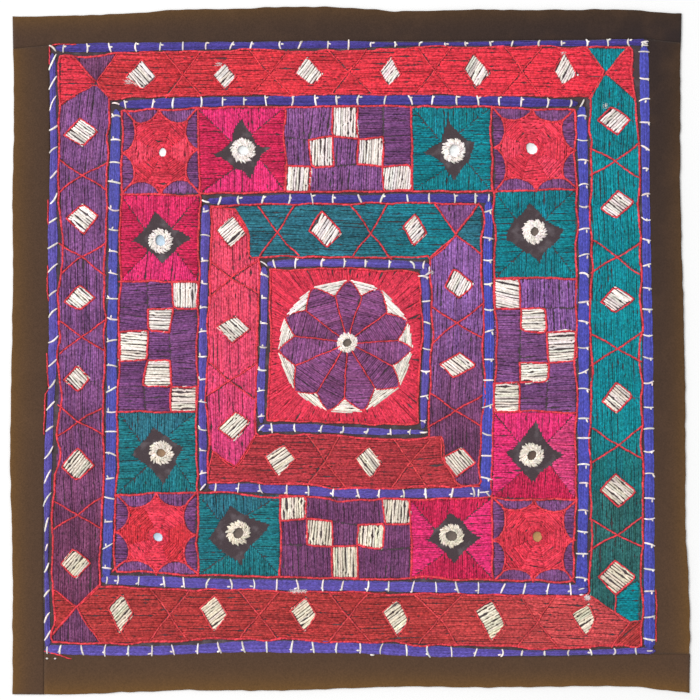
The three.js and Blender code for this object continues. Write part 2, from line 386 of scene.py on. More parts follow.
# A line of stitches: how far each runs past its ends, and how far it is turned, as shares of its length
LINE_LAP = 0.16
LINE_SLANT = 0.22
LINE_RISE = 0.1
LINE_SPREAD = 0.15


def stations(length, pushes):
    """How far along a stitch its points lie: near its ends, at even steps, and closer where it is pushed."""
    tuck = min(TUCK, MOST_TUCK * length)
    places = list(np.linspace(tuck, length - tuck, 2 + int(length / POINT_STEP)))
    for at, spread, _ in pushes:
        places += [at - PUSH_REACH * spread, at, at + PUSH_REACH * spread]
    places = np.sort(places)
    places = places[(places > LEAST_STEP) & (places < length - LEAST_STEP)]
    apart = np.diff(places, prepend=-LEAST_STEP) > LEAST_STEP
    return np.array([0, *places[apart], length])


def parted(opened, slits):
    """The pushes on a stitch: off the slits that the one before it opened, and off its own."""
    return opened + [(at, spread, -push) for at, spread, push in slits]


def strand_points(path, width, height):
    """The points of strands alike in steps: a round section, flat below, at each point of their paths."""
    along = np.gradient(path[..., :2], axis=1)
    along /= np.linalg.norm(along, axis=2, keepdims=True)
    across = np.stack([-along[..., 1], along[..., 0]], axis=2)
    spread = (width / 2)[..., None] * np.cos(SECTION)
    points = np.repeat(path[:, :, None, :], len(SECTION), axis=2)
    points[..., :2] += across[:, :, None, :] * spread[..., None]
    points[..., 2] += height[..., None] * np.sin(SECTION)
    return points.reshape(-1, 3)


def strand_faces(count, steps, offset):
    """The faces of strands alike in steps: those above, those underneath and those at the ends."""
    ring = len(SECTION)
    index = offset + np.arange(count * steps * ring).reshape(count, steps, ring)
    above = (index[:, :-1, :-1], index[:, :-1, 1:], index[:, 1:, 1:], index[:, 1:, :-1])
    below = (index[:, :-1, 0], index[:, 1:, 0], index[:, 1:, -1], index[:, :-1, -1])
    above, below = (np.stack(group, axis=-1).reshape(-1, 4) for group in (above, below))
    return above, below, np.concatenate([index[:, 0, ::-1], index[:, -1, :]])


class Sewing:
    """The strands of one piece, gathered here and then made into one joined mesh."""

    def __init__(self, name):
        self.name = name
        self.rng = seeded(name)
        self.strands = {}

    def lay(self, path, width, height, colour):
        """Adds a strand whose underside follows the path, with its width and height at each point."""
        self.strands.setdefault(len(path), []).append((path, width, height, colour))

    def tone(self, colour, point):
        """The colour of one strand: the thread's own, a little lighter or darker than its neighbours."""
        base = linear(colour(point) if callable(colour) else colour)
        shade = varied(self.rng, SHADE_SPREAD, 0.75, 1.25)
        return base * shade * varied(self.rng, HUE_SPREAD, 0.9, 1.1, 3)

    def stitch(self, start, end, colour, kind, base=(FIELD_BASE, FIELD_BASE), rise=0.15, bow=0.0, pushes=()):
        """One stitch from a needle hole to the next, with ends that go down into the cloth."""
        start, end = np.asarray(start, float), np.asarray(end, float)
        reach = end - start
        length = math.hypot(*reach)
        walked = stations(length, pushes)
        share = walked / length
        across = left_of(reach) / length
        belly = 4 * share * (1 - share)
        slack = kind.slack * min(length / LONG_STITCH, MOST_SLACK)
        sway = (self.rng.normal(0, slack) + bow) * belly
        sway += self.rng.normal(0, slack / 2) * np.sin(2 * math.pi * share)
        for at, spread, push in pushes:
            sway += push * np.exp(-((walked - at) / spread) ** 2)
        path = np.empty((len(share), 3))
        path[:, :2] = start + np.outer(share, reach) + np.outer(sway, across)
        path[:, 2] = base[0] + share * (base[1] - base[0]) + rise * belly
        path[[0, -1], 2] -= END_DIVE
        size = np.ones(len(share))
        size[[0, -1]] = END_TAPER
        width = kind.width * varied(self.rng, WIDTH_SPREAD, 0.8, 1.2)
        height = kind.height * varied(self.rng, HEIGHT_SPREAD, 0.8, 1.2)
        self.lay(path, width * size, height * size, self.tone(colour, (start + end) / 2))

    def fill(self, loops, degrees, colour, kind=SATIN, meet=None, base=FIELD_BASE):
        """Fills the area inside the loops, less the loops in it, with stitches that run at an angle.

        Long stitches that pass beside the point meet end there, and others go on from it.
        """
        angle = math.radians(degrees)
        turn = np.array([(math.cos(angle), math.sin(angle)), (-math.sin(angle), math.cos(angle))])
        turned = [np.asarray(loop, float) @ turn.T for loop in loops]
        starts = np.concatenate(turned)
        ends = np.concatenate([np.roll(loop, -1, axis=0) for loop in turned])
        low, high = starts[:, 1].min(), starts[:, 1].max()
        middle = None if meet is None else turn[0] @ meet
        place = low + kind.pitch * self.rng.uniform(0.3, 0.6)
        opened = []
        while place < high - 0.2 * kind.pitch:
            crossed = (starts[:, 1] <= place) != (ends[:, 1] <= place)
            first, second = starts[crossed], ends[crossed]
            share = (place - first[:, 1]) / (second[:, 1] - first[:, 1])
            marks = np.sort(first[:, 0] + share * (second[:, 0] - first[:, 0]))
            slits = self.slits(marks, place, turn, kind)
            pushes = parted(opened, slits)
            opened = slits
            for left, right in zip(marks[::2], marks[1::2]):
                self.fill_run(left, right, place, pushes, turn, colour, kind, middle, base)
            place += kind.pitch * varied(self.rng, PITCH_SPREAD, 0.8, 1.25)

    def slits(self, marks, place, turn, kind):
        """Where a line of stitches parts from the next: the place, half the length, and half the width.

        Slits come in clusters, so many of those in the closer parts of the work are left out.
        """
        low, high = marks[0], marks[-1]
        at = self.rng.uniform(low, high, self.rng.poisson(kind.slits * (high - low)))
        points = np.column_stack([at, np.full(len(at), place)]) @ turn
        kept = self.rng.uniform(-1, 1, len(at)) < ripple(points, SLIT_SEED, SLIT_LENGTHS)
        opening = kind.width - kind.pitch
        found = []
        for mark in at[kept]:
            spread = self.rng.exponential(SLIT_LENGTH) + LEAST_SLIT
            width = opening + kind.opening * self.rng.uniform(*SLIT_OPENINGS)
            found.append((mark, spread, width / 2))
        return found

    def fill_run(self, left, right, place, pushes, turn, colour, kind, middle, base):
        """One line of a filled area, as one stitch, or two that meet where it is long."""
        if right - left < SHORTEST_STITCH:
            return
        marks = [left, right]
        if middle is not None and left + MEET_MARGIN < middle < right - MEET_MARGIN:
            marks.insert(1, middle + self.rng.normal(0, MEET_SPREAD))
        elif right - left > LONGEST_STITCH:
            marks.insert(1, left + (right - left) * self.rng.uniform(0.4, 0.6))
        for start, end in zip(marks, marks[1:]):
            laps = (MEET_LAP * (start > left), MEET_LAP * (end < right))
            ends = np.array([(start - laps[0], place), (end + laps[1], place)])
            ends[:, 0] += self.rng.normal(0, HOLE_SPREAD[0], 2)
            ends[:, 1] += self.rng.normal(0, HOLE_SPREAD[1], 2)
            ends = ends @ turn
            near = [(at - start, spread, push) for at, spread, push in pushes if start < at < end]
            self.stitch(ends[0], ends[1], colour, kind, (base, base), pushes=near)

    def outline(self, points, kind=LINE, colour="line_red", wander=0.55, closed=False, level=LINE_BASE):
        """A line of short stitches, each beginning beside the end of the one before."""
        points = np.asarray(points, float)
        if closed:
            points = np.concatenate([points, points[:1]])
        count = max(2, int(round(polyline_length(points) / kind.pitch)) + 1)
        marks = resample(points, count)
        marks += np.column_stack([drift(self.rng, count, wander, 5) for _ in range(2)])
        marks[1:-1] += self.rng.normal(0, LINE_SPREAD, marks[1:-1].shape)
        if closed:
            marks[-1] = marks[0]
        for start, end in zip(marks, marks[1:]):
            lap = LINE_LAP * (end - start)
            side = LINE_SLANT * left_of(end - start) / max(math.dist(start, end), 1)
            self.stitch(start - lap - side, end + lap + side, colour, kind, (level, level), rise=LINE_RISE)

    def piece(self, slot, *nodes):
        """Makes the piece of all strands laid so far."""
        points, flat, sizes, tones, fibres, under = [], [], [], [], [], []
        offset = 0
        for steps, strands in sorted(self.strands.items()):
            path, width, height, tone = (np.array(column) for column in zip(*strands))
            points.append(strand_points(path, width, height))
            # Painted sheen: lighter and darker patches along the strands, laid into their colour
            painted_sheen = 1 + STRONG_PAINTED_SHEEN.get(slot, PAINTED_SHEEN) * ripple(path[..., :2], PAINTED_SHEEN_SEED, PAINTED_SHEEN_LENGTHS)
            shaded = (tone[:, None] * painted_sheen[..., None]).reshape(-1, 3)
            tones.append(np.repeat(shaded, len(SECTION), axis=0))
            fibres.append(self.fibre(path, len(SECTION)))
            above, below, ends = strand_faces(len(path), steps, offset)
            offset += len(points[-1])
            flat += [above.ravel(), below.ravel(), ends.ravel()]
            sizes += [np.full(len(above) + len(below), 4), np.full(len(ends), len(SECTION))]
            under.append(np.repeat((False, True, False), (len(above), len(below), len(ends))))
        mesh = new_mesh(self.name, *(np.concatenate(part) for part in (points, flat, sizes)))
        set_attribute(mesh, "tone", "FLOAT_COLOR", np.concatenate(tones))
        set_attribute(mesh, "fibre", "FLOAT_VECTOR", np.concatenate(fibres))
        flat_map(mesh, np.concatenate(under))
        return add_piece(mesh, slot, *nodes)

    def fibre(self, path, ring):
        """For each point of the strands: the way along in millimetres, the way round, and a number each."""
        count, steps = path.shape[:2]
        walked = np.zeros((count, steps))
        walked[:, 1:] = np.cumsum(np.linalg.norm(np.diff(path, axis=1), axis=2), axis=1)
        fibre = np.empty((count, steps, ring, 3))
        fibre[..., 0] = walked[..., None]
        fibre[..., 1] = np.linspace(0, 1, ring)
        fibre[..., 2] = self.rng.uniform(0, 100, count)[:, None, None]
        return fibre.reshape(-1, 3)


# Meshes and pieces

def new_mesh(name, points, flat, sizes):
    mesh = bpy.data.meshes.new(name)
    mesh.vertices.add(len(points))
    mesh.vertices.foreach_set("co", (points * MM).astype(np.float32).ravel())
    mesh.loops.add(len(flat))
    mesh.loops.foreach_set("vertex_index", flat.astype(np.int32))
    mesh.polygons.add(len(sizes))
    mesh.polygons.foreach_set("loop_start", (np.cumsum(sizes) - sizes).astype(np.int32))
    mesh.polygons.foreach_set("use_smooth", np.ones(len(sizes), bool))
    mesh.update(calc_edges=True)
    mesh.validate()
    return mesh


def set_attribute(mesh, name, kind, values):
    """Stores one colour or vector for each point of a mesh."""
    key = {"FLOAT_COLOR": "color", "FLOAT_VECTOR": "vector"}[kind]
    if kind == "FLOAT_COLOR":
        values = np.column_stack([values, np.ones(len(values))])
    layer = mesh.attributes.new(name, kind, "POINT")
    layer.data.foreach_set(key, np.ascontiguousarray(values, np.float32).ravel())


# The room that a map leaves at its sides, and where its second half begins
MAP_MARGIN = 0.01
MAP_HALF = 0.5


def flat_map(mesh, under):
    """A map of the piece seen from above, with the faces underneath laid out beside it."""
    vertex = np.empty(len(mesh.loops), np.int32)
    mesh.loops.foreach_get("vertex_index", vertex)
    place = np.empty(len(mesh.vertices) * 3, np.float32)
    mesh.vertices.foreach_get("co", place)
    place = place.reshape(-1, 3)[:, :2]
    low, high = place.min(axis=0), place.max(axis=0)
    share = ((place - low) / (high - low))[vertex]
    size = np.empty(len(mesh.polygons), np.int32)
    mesh.polygons.foreach_get("loop_total", size)
    half = np.repeat(under, size)
    share[:, 0] = MAP_MARGIN + (MAP_HALF - 2 * MAP_MARGIN) * share[:, 0] + MAP_HALF * half
    share[:, 1] = MAP_MARGIN + (1 - 2 * MAP_MARGIN) * share[:, 1]
    layer = mesh.uv_layers.new(name="OFBake")
    layer.data.foreach_set("uv", share.astype(np.float32).ravel())


def new_object(name, data):
    """An object of a mesh, light or camera, in the scene."""
    thing = bpy.data.objects.new(name, data)
    bpy.context.scene.collection.objects.link(thing)
    return thing


def add_piece(mesh, slot, *nodes):
    piece = new_object(mesh.name, mesh)
    mesh.materials.append(MATERIALS[slot])
    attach(piece, BODY)
    if nodes:
        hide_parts(*nodes)
    return piece


# Materials

class Finish:
    """A new material, with short ways to add nodes to it and join them to its shader."""

    def __init__(self, name):
        self.material = bpy.data.materials.new(name)
        self.material.use_nodes = True
        self.tree = self.material.node_tree

    def give(self, node, inputs):
        """Sets the inputs of a node to values, or joins them to the outputs of others."""
        for socket, value in inputs.items():
            if isinstance(value, bpy.types.NodeSocket):
                self.tree.links.new(value, node.inputs[socket])
            else:
                node.inputs[socket].default_value = value

    def add(self, kind, inputs, output=0, **settings):
        """One output of a new node."""
        node = self.tree.nodes.new("ShaderNode" + kind)
        for key, value in settings.items():
            setattr(node, key, value)
        self.give(node, inputs)
        return node.outputs[output]

    def shaded(self, inputs):
        """The material, once its shader has these inputs."""
        self.give(self.tree.nodes["Principled BSDF"], inputs)
        return self.material

    def attribute(self, name, output):
        return self.add("Attribute", {}, output, attribute_name=name)

    def place(self):
        return self.add("TexCoord", {}, "Object")

    def noise(self, place, scale, detail):
        return self.add("TexNoise", {"Vector": place, "Scale": scale, "Detail": detail})

    def ranged(self, value, start, end, low=0.0, high=1.0):
        """A value between low and high, brought to between start and end."""
        return self.add("MapRange", {"Value": value, "From Min": low, "From Max": high,
                                     "To Min": start, "To Max": end})

    def times(self, first, second):
        return self.add("Math", {0: first, 1: second}, operation="MULTIPLY")

    def stretched(self, vector, factors):
        return self.add("VectorMath", {0: vector, 1: factors}, operation="MULTIPLY")

    def scaled(self, colour, factor):
        return self.add("VectorMath", {0: colour, "Scale": factor}, operation="SCALE")


def thread_material(slot, roughness, sheen, twist):
    """Floss: each strand has its own tone, with fine fibres and lighter and darker stretches along it,
    partly its own tone and partly painted sheen.
    """
    finish = Finish(slot)
    tone = finish.attribute("tone", "Color")
    fibre = finish.attribute("fibre", "Vector")
    streaks = finish.noise(finish.stretched(fibre, (0.5, 3.2, 7.3)), 1.0, 2.0)
    plies = finish.noise(finish.stretched(fibre, (0.55, 0.7, 5.9)), 1.0, 1.0)
    # Painted sheen: the stretches and the twist of the plies lighten and darken the base colour, as satin
    # catching the light does
    shade = finish.ranged(streaks, 0.70, 1.26, 0.3, 0.7)
    lustre = finish.ranged(plies, 1 - twist, 1 + twist, 0.3, 0.7)
    bump = finish.add("Bump", {"Height": streaks, "Strength": 0.35, "Distance": 0.00012})
    return finish.shaded({
        "Base Color": finish.scaled(tone, finish.times(shade, lustre)),
        "Normal": bump,
        "Roughness": roughness,
        "Specular IOR Level": 0.2,
        "Sheen Weight": sheen,
        "Sheen Roughness": 0.45,
    })


def weave_height(finish, place, pitch):
    """The height of a plain weave, over and under, at a thread pitch in millimetres."""
    turn = math.pi / (pitch * MM)
    waves = []
    for axis in range(2):
        along = finish.times(finish.add("SeparateXYZ", {0: place}, axis), turn)
        waves.append(finish.add("Math", {0: along}, operation="SINE"))
    return finish.times(*waves)


def cloth_material(slot, paler_tone, pitch, mottle, scale):
    """Cotton in plain weave, of the tone that the mesh gives, with worn patches of a scale."""
    finish = Finish(slot)
    place = finish.place()
    tone = finish.attribute("tone", "Color")
    grain = finish.noise(place, 900.0, 2.0)
    share = finish.ranged(finish.noise(place, scale, 4.0), 0.0, mottle / 2, low=0.5)
    faded = (*linear(paler_tone), 1)
    mix = finish.add("Mix", {"Factor": share, "A": tone, "B": faded}, "Result", data_type="RGBA")
    weave = weave_height(finish, place, pitch)
    bump = finish.add("Bump", {"Height": weave, "Strength": 0.5, "Distance": 0.00012})
    rough = finish.add("Bump", {"Height": grain, "Strength": 0.3, "Distance": 0.00015, "Normal": bump})
    return finish.shaded({
        "Base Color": finish.scaled(mix, finish.ranged(grain, 0.82, 1.18, 0.25, 0.75)),
        "Normal": rough,
        "Roughness": 0.92,
        "Specular IOR Level": 0.2,
        "Sheen Weight": 0.12,
    })


def mirror_material(slot):
    """Small old mirror glass: a gloss over a colour that is partly the glass's tint and partly painted
    reflection and shade, with cloudy spots in the silvering.
    """
    finish = Finish(slot)
    spots = finish.noise(finish.place(), 420.0, 3.0)
    tone = finish.attribute("tone", "Color")
    return finish.shaded({
        "Base Color": finish.scaled(tone, finish.ranged(spots, 0.9, 1.12, 0.3, 0.7)),
        "Roughness": finish.ranged(spots, 0.1, 0.3),
        "Metallic": 0.05,
    })


THREAD_SLOTS = ("red", "crimson", "magenta", "purple", "teal")
MATERIALS = {f"{name}_thread": thread_material(f"{name}_thread", 0.6, 0.05, 0.37) for name in THREAD_SLOTS}
MATERIALS["ivory_thread"] = thread_material("ivory_thread", 0.6, 0.05, 0.12)
MATERIALS["blue_yarn"] = thread_material("blue_yarn", 0.6, 0.2, 0.24)
MATERIALS["ground_cloth"] = cloth_material("ground_cloth", "ground_worn", 0.7, 2.0, 130.0)
MATERIALS["border_cloth"] = cloth_material("border_cloth", "border_worn", 0.55, 0.6, 45.0)
MATERIALS["mirror"] = mirror_material("mirror")


# The ground cloth and the border strips

GROUND_STEPS = 72
STRIP_STEPS = 200
EDGE_ROUNDING = 1.1
SEAM_ROUNDING = 3.2
STRIP_SHARES = np.array([0, 0.008, 0.02, 0.04, 0.08, 0.16, 0.26, 0.36, 0.47, 0.58, 0.68, 0.77, 0.85, 0.91,
                         0.95, 0.98, 1.0])

# The unevenness of the ground's face, and how far its mean level lies under its full height
GROUND_WAVE = 0.12
GROUND_SINK = 0.06
GROUND_SEED = 3

# The height of a strip at its fold, at its seam and at its ends, as shares of its full height
FOLD_LOW = 0.45
SEAM_LOW = 0.55
END_LOW = 0.7
STRIP_WAVE = 0.16
STRIP_SEED = 11
EDGE_DRIFT = 0.2

# The stitches beside a seam: how far off it, how deep they lie, and the share of the line that shows
SEAM_LINE_OFFSET = 5.5
SEAM_LINE_DEPTH = 0.12
SEAM_LINE_SHARE = 0.55

# The span over which the border's colour changes, how far it turns paler and browner at each corner, and how
# far
# it browns at its outer edge: a little everywhere, more where a corner is paler, falling off across the
# strip
CORNER_SPAN = 540.0
CORNER_PALENESS = (0.38, 0.02, 0.56, 0.53)
EDGE_BROWNING = 0.46
LEAST_BROWNING = 0.3
CORNER_BROWNING = 1.4
BROWNING_FALL = 2.6


def sheet_piece(node, top, tone):
    """A closed thin sheet of cloth: a grid of points on its face, flat underneath, with a wall round it."""
    rows, columns = top.shape[:2]
    count = rows * columns
    bottom = top.copy()
    bottom[..., 2] = 0
    index = np.arange(count).reshape(rows, columns)
    face = np.stack([index[:-1, :-1], index[1:, :-1], index[1:, 1:], index[:-1, 1:]], axis=-1).reshape(-1, 4)
    rim = np.concatenate([index[:-1, 0], index[-1, :-1], index[:0:-1, -1], index[0, :0:-1]])
    wall = np.stack([rim + count, np.roll(rim, -1) + count, np.roll(rim, -1), rim], axis=-1)
    corners = top.reshape(-1, 3)[face[0]]
    turned = np.cross(corners[1] - corners[0], corners[2] - corners[1])[2] < 0
    quads = np.concatenate([face, face[:, ::-1] + count, wall])
    if turned:
        quads = quads[:, ::-1]
    points = np.concatenate([top.reshape(-1, 3), bottom.reshape(-1, 3)])
    mesh = new_mesh(f"{node}_sheet", points, quads.ravel(), np.full(len(quads), 4))
    set_attribute(mesh, "tone", "FLOAT_COLOR", np.tile(tone.reshape(-1, 3), (2, 1)))
    under = np.zeros(len(quads), bool)
    under[len(face):] = True
    flat_map(mesh, under)
    piece = add_piece(mesh, "ground_cloth" if node == "ground_cloth" else "border_cloth", node)


def add_ground():
    line = FRAMES["outer"]
    share = np.linspace(0, 1, GROUND_STEPS + 1)
    top, bottom = line.point(0, share, SEAM_OFFSET), line.point(2, 1 - share, SEAM_OFFSET)
    left, right = line.point(3, 1 - share, SEAM_OFFSET), line.point(1, share, SEAM_OFFSET)
    across, down = share[None, :, None], share[:, None, None]
    between_sides = (1 - across) * left[:, None] + across * right[:, None]
    between_ends = (1 - down) * top[None] + down * bottom[None]
    grid = np.zeros((len(share), len(share), 3))
    between_corners = bilinear((top[0], top[-1], bottom[-1], bottom[0]), across, down)
    grid[..., :2] = between_sides + between_ends - between_corners
    grid[..., 2] = GROUND_TOP + GROUND_WAVE * ripple(grid[..., :2], GROUND_SEED) - GROUND_SINK
    sheet_piece("ground_cloth", grid, np.broadcast_to(linear("ground"), grid.shape))


def seam_end(index, side, shift=0.0):
    """Where the seam between two border strips runs out to the cloth's edge."""
    corner = FRAMES["outer"].corner(index, SEAM_OFFSET)
    return EDGE.at(side, corner[side % 2] + shift)


def edge_between(side, start, end):
    shares = np.linspace(EDGE.share(side, start[side % 2]), EDGE.share(side, end[side % 2]), 40)
    return EDGE.point(side, shares)


def strip_lines():
    """The outer and inner edge of each border strip, followed clockwise."""
    seam = FRAMES["outer"]
    left_end, right_end = seam_end(0, 3, -SEAM_FALL), seam_end(1, 1, -SEAM_FALL)
    lower_end, foot_end = seam_end(2, 1), seam_end(3, 2)
    top_left, top_right, bottom_right, bottom_left = (EDGE.corner(index) for index in range(4))
    return {
        "top": (edge_between(0, top_left, top_right),
                [left_end, *seam.side(0, SEAM_OFFSET), right_end]),
        "right": (edge_between(1, right_end, lower_end), seam.side(1, SEAM_OFFSET)),
        "bottom": (edge_between(2, bottom_right, foot_end), [lower_end, *seam.side(2, SEAM_OFFSET)]),
        "left": (edge_between(3, bottom_left, left_end), [foot_end, *seam.side(3, SEAM_OFFSET)]),
    }


def rounded(distance, radius):
    """The height, from 0 to 1, of a folded edge at a distance from it."""
    inside_fold = np.clip(1 - distance / radius, 0, 1)
    return np.sqrt(1 - inside_fold ** 2)


def border_tone(points, edge_share):
    """The border's colour: paler and browner towards its lower corners, and browner along its outer edge."""
    across = np.clip(0.5 + points[..., 0] / CORNER_SPAN, 0, 1)
    down = np.clip(0.5 - points[..., 1] / CORNER_SPAN, 0, 1)
    paleness = bilinear(CORNER_PALENESS, across, down)
    browning = EDGE_BROWNING * (LEAST_BROWNING + CORNER_BROWNING * paleness) * (1 - edge_share) ** BROWNING_FALL
    new, paler_tone, brown = (linear(name) for name in ("border", "border_worn", "border_brown"))
    return new + paleness[..., None] * (paler_tone - new) + browning[..., None] * (brown - new)


def strip_height(points, width, length, number):
    """The height of a strip's face: rounded at its fold, and lower at its seam and its ends."""
    walked = np.linspace(0, length, STRIP_STEPS)[:, None]
    fold = rounded(STRIP_SHARES * width, EDGE_ROUNDING)
    seam = rounded((1 - STRIP_SHARES) * width, SEAM_ROUNDING)
    end = rounded(np.minimum(walked, walked[::-1]), SEAM_ROUNDING)
    low = np.minimum(FOLD_LOW + (1 - FOLD_LOW) * fold, SEAM_LOW + (1 - SEAM_LOW) * seam)
    low = np.minimum(low, END_LOW + (1 - END_LOW) * end)
    return STRIP_TOP * low + STRIP_WAVE * ripple(points, STRIP_SEED + number) * fold * seam


def add_border():
    seams = Sewing("seam_stitches")
    for number, (side, (outer, inner)) in enumerate(strip_lines().items()):
        outer, inner = resample(outer, STRIP_STEPS), resample(inner, STRIP_STEPS)
        outer += np.outer(drift(seams.rng, STRIP_STEPS, EDGE_DRIFT, 5), OUTWARD[number])
        share = STRIP_SHARES[None, :, None]
        grid = np.zeros((STRIP_STEPS, len(STRIP_SHARES), 3))
        grid[..., :2] = (1 - share) * outer[:, None] + share * inner[:, None]
        width = np.hypot(*(inner - outer).T)[:, None]
        length = polyline_length(outer)
        grid[..., 2] = strip_height(grid[..., :2], width, length, number)
        tone = border_tone(grid[..., :2], STRIP_SHARES[None])
        sheet_piece(f"border_{side}", grid, tone)
        add_seam_line(seams, FRAMES["outer"].side(number, SEAM_OFFSET + SEAM_LINE_OFFSET))
    seams.piece("ivory_thread")


def add_seam_line(seams, points):
    """A line of short stitches beside a seam, with gaps as long as the stitches."""
    marks = resample(points, int(polyline_length(points) / SEAM.pitch))
    low = STRIP_TOP - SEAM_LINE_DEPTH
    for start, end in zip(marks, marks[1:]):
        stop = start + SEAM_LINE_SHARE * (end - start)
        seams.stitch(start, stop, "seam_thread", SEAM, base=(low, low), rise=0.05)


# Couched yarn and its ties

# For each frame: the number of yarns, the distance of its ties, and for each side the width of the yarns
# at even steps and their colour
Couching = namedtuple("Couching", "yarns tie_pitch widths colours")
COUCHING = {
    "outer": Couching(
        7, 18.6,
        ((5.6, 7.6, 6.8, 6.0, 5.8, 6.0, 6.2, 3.0, 2.8, 3.4, 4.2, 4.8, 5.2),
         (7.4, 7.2, 6.0, 7.0, 7.6, 7.8, 7.8, 8.6, 9.0),
         (5.2, 3.8, 4.0, 5.0, 8.4, 9.0, 9.2, 10.0, 9.2, 7.6, 7.6, 8.0, 7.2),
         (4.4, 3.6, 2.6, 5.2, 6.0, 5.0, 7.6, 6.0, 7.8, 6.0, 6.0, 4.8, 4.8)),
        ("dusk_blue", "clear_blue", "pale_blue", "pale_blue"),
    ),
    "second": Couching(
        8, 18.4,
        ((5.6, 8.0, 7.8, 7.0, 8.2, 8.2, 7.6, 7.6, 7.8, 7.0, 5.0),
         (7.2, 8.4, 7.4, 9.2, 7.6, 9.6, 8.2, 9.4, 9.4, 8.4, 8.0, 9.6),
         (8.2, 9.4, 9.0, 8.4, 8.6, 8.4, 8.4, 8.4, 7.8, 8.6, 7.0),
         (6.8, 7.8, 8.4, 8.4, 8.0, 7.8, 7.8, 7.4, 7.6, 9.0, 8.0, 6.4)),
        ("dusk_blue", "clear_blue", "pale_blue", "soft_blue"),
    ),
    "third": Couching(
        7, 19.0,
        ((5.2, 6.8, 6.6, 8.6, 7.6, 6.2, 6.2, 7.2, 7.4, 7.0, 7.0),
         (6.2, 6.8, 7.0, 6.6, 7.2, 7.2, 7.4, 8.6, 8.8, 8.8, 9.4),
         (9.0, 7.6, 7.6, 6.8, 7.8, 7.4, 7.2, 7.0, 7.2, 6.0),
         (5.2, 5.6, 6.2, 5.8, 6.0, 6.6, 6.4, 5.8, 6.2, 7.2, 6.8)),
        ("dusk_blue", "clear_blue", "pale_blue", "pale_blue"),
    ),
    "inner": Couching(
        6, 19.4,
        ((5.2, 6.0, 5.8, 6.4, 6.4, 6.4, 6.2), (7.0, 6.6, 5.8, 5.6, 6.2, 5.8, 4.4),
         (3.8, 4.4, 5.6, 5.6, 6.2, 6.6, 6.0), (4.0, 5.6, 6.6, 5.0, 5.2, 5.4, 6.4, 5.6)),
        ("pale_blue",) * 4,
    ),
}
# How far the yarns run on past each corner of a frame: those that arrive there and those that leave it
CORNER_LAPS = {
    "outer": ((-4.0, -2.6), (3.0, -2.6), (-1.5, 4.5), (1.5, -1.5)),
    "second": ((-4.0, -2.2), (-3.4, -2.4), (0.5, 5.0), (4.0, -1.0)),
    "third": ((-3.0, -1.2), (2.8, -2.0), (-0.5, 4.5), (-4.5, 1.5)),
    "inner": ((-2.2, -2.6), (4.0, -0.5), (-2.8, 1.5), (2.5, -4.0)),
}
# The direction of the white stitch over each corner, in degrees
CORNER_TIES = {
    "outer": (-42, 10, 2, 88),
    "second": (-14, 62, 14, 85),
    "third": (-16, 84, 10, 50),
    "inner": (-35, 84, 0, 45),
}
# More white ticks here and there, from and to
TICKS = (
    ((233.0, 246.6), (238.2, 245.0)), ((232.8, 244.2), (238.4, 243.8)), ((233.4, 242.4), (234.4, 246.8)),
    ((183.4, -195.4), (186.6, -195.0)), ((16.0, -243.2), (19.6, -243.4)),
    ((-243.2, -246.0), (-241.2, -246.2)), ((-236.6, -246.4), (-234.6, -246.0)),
    ((102.8, -110.6), (102.6, -117.0)), ((103.2, -113.4), (109.0, -113.2)),
    ((108.8, -113.0), (112.0, -116.8)),
    ((54.2, 59.4), (60.4, 59.8)), ((60.0, 59.8), (64.8, 62.8)), ((63.4, 63.0), (63.6, 67.6)),
)
# A yarn's height, how far the middle of a bundle stands over its edges, and how its ends are set back
YARN_HEIGHT = 0.8
YARN_CROWN = 0.6
YARN_STEP = 4.0
YARN_OVERLAP = 1.75
YARN_DRIFT = 0.16
YARN_SPREAD = 0.04
END_STAGGER = 3.2
# A bundle is wider between its ties; beside them it is drawn in, and its crown and yarns are pressed down
PINCH_REACH = 3.6
FREE_WIDTH = 1.05
PINCH_WIDTH = 0.14
PINCH_CROWN = 0.3
PINCH_HEIGHT = 0.2
# A tie's course over the yarn, from one needle hole to the other, and its size along it
TIE_STATIONS = np.array([0, 0.1, 0.3, 0.5, 0.7, 0.9, 1])
TIE_RISE = np.array([0, 0.55, 0.95, 1, 0.95, 0.55, 0])
TIE_SIZE = np.array([0.55, 0.9, 1, 1.05, 1, 0.9, 0.55])
TIE_ROOT = GROUND_TOP - 0.3
TIE_LIFT = 1.45
# How uneven the places of the ties are, how far they reach past the yarn, and half the length at a corner
TIE_SPREAD = 1.2
TIE_MARGIN = 0.4
CORNER_TIE_REACH = 3.8
# The ticks beside the ties: how often there is none, and where across the yarn they start
NO_TICK = 0.18
TICK_ROOT = 0.22
# The height of the other white ticks
TICK_LEVEL = GROUND_TOP + 1.25
# The side where the ties slant, with no ticks beside them
SLANTED_TIES = "couched_outer_left"


def add_couching(name):
    line, couching = FRAMES[name], COUCHING[name]
    ties = Sewing(f"ties_{name}")
    for side in range(4):
        node = f"couched_{name}_{SIDES[side]}"
        sewing = Sewing(f"{node}_yarn")
        length = math.dist(line.corner(side), line.corner(side + 1))
        count = int(round(length / couching.tie_pitch))
        places = (np.arange(count) + 0.5) * length / count + sewing.rng.normal(0, TIE_SPREAD, count)
        for lane in np.linspace(-1, 1, couching.yarns):
            laps = (CORNER_LAPS[name][side][1], CORNER_LAPS[name][(side + 1) % 4][0])
            lay_yarn(sewing, line, side, lane, couching, places, laps)
        sewing.piece("blue_yarn", node)
        for share in places / length:
            width = smooth_between(couching.widths[side], share)
            add_tie(ties, line, side, share, width, slanted=node == SLANTED_TIES)
        reach = polar((0, 0), CORNER_TIE_REACH, CORNER_TIES[name][side])
        corner = line.corner(side)
        lay_tie(ties, corner - reach, corner + reach, ties.rng.normal(0, 0.6))
    ties.piece("ivory_thread")


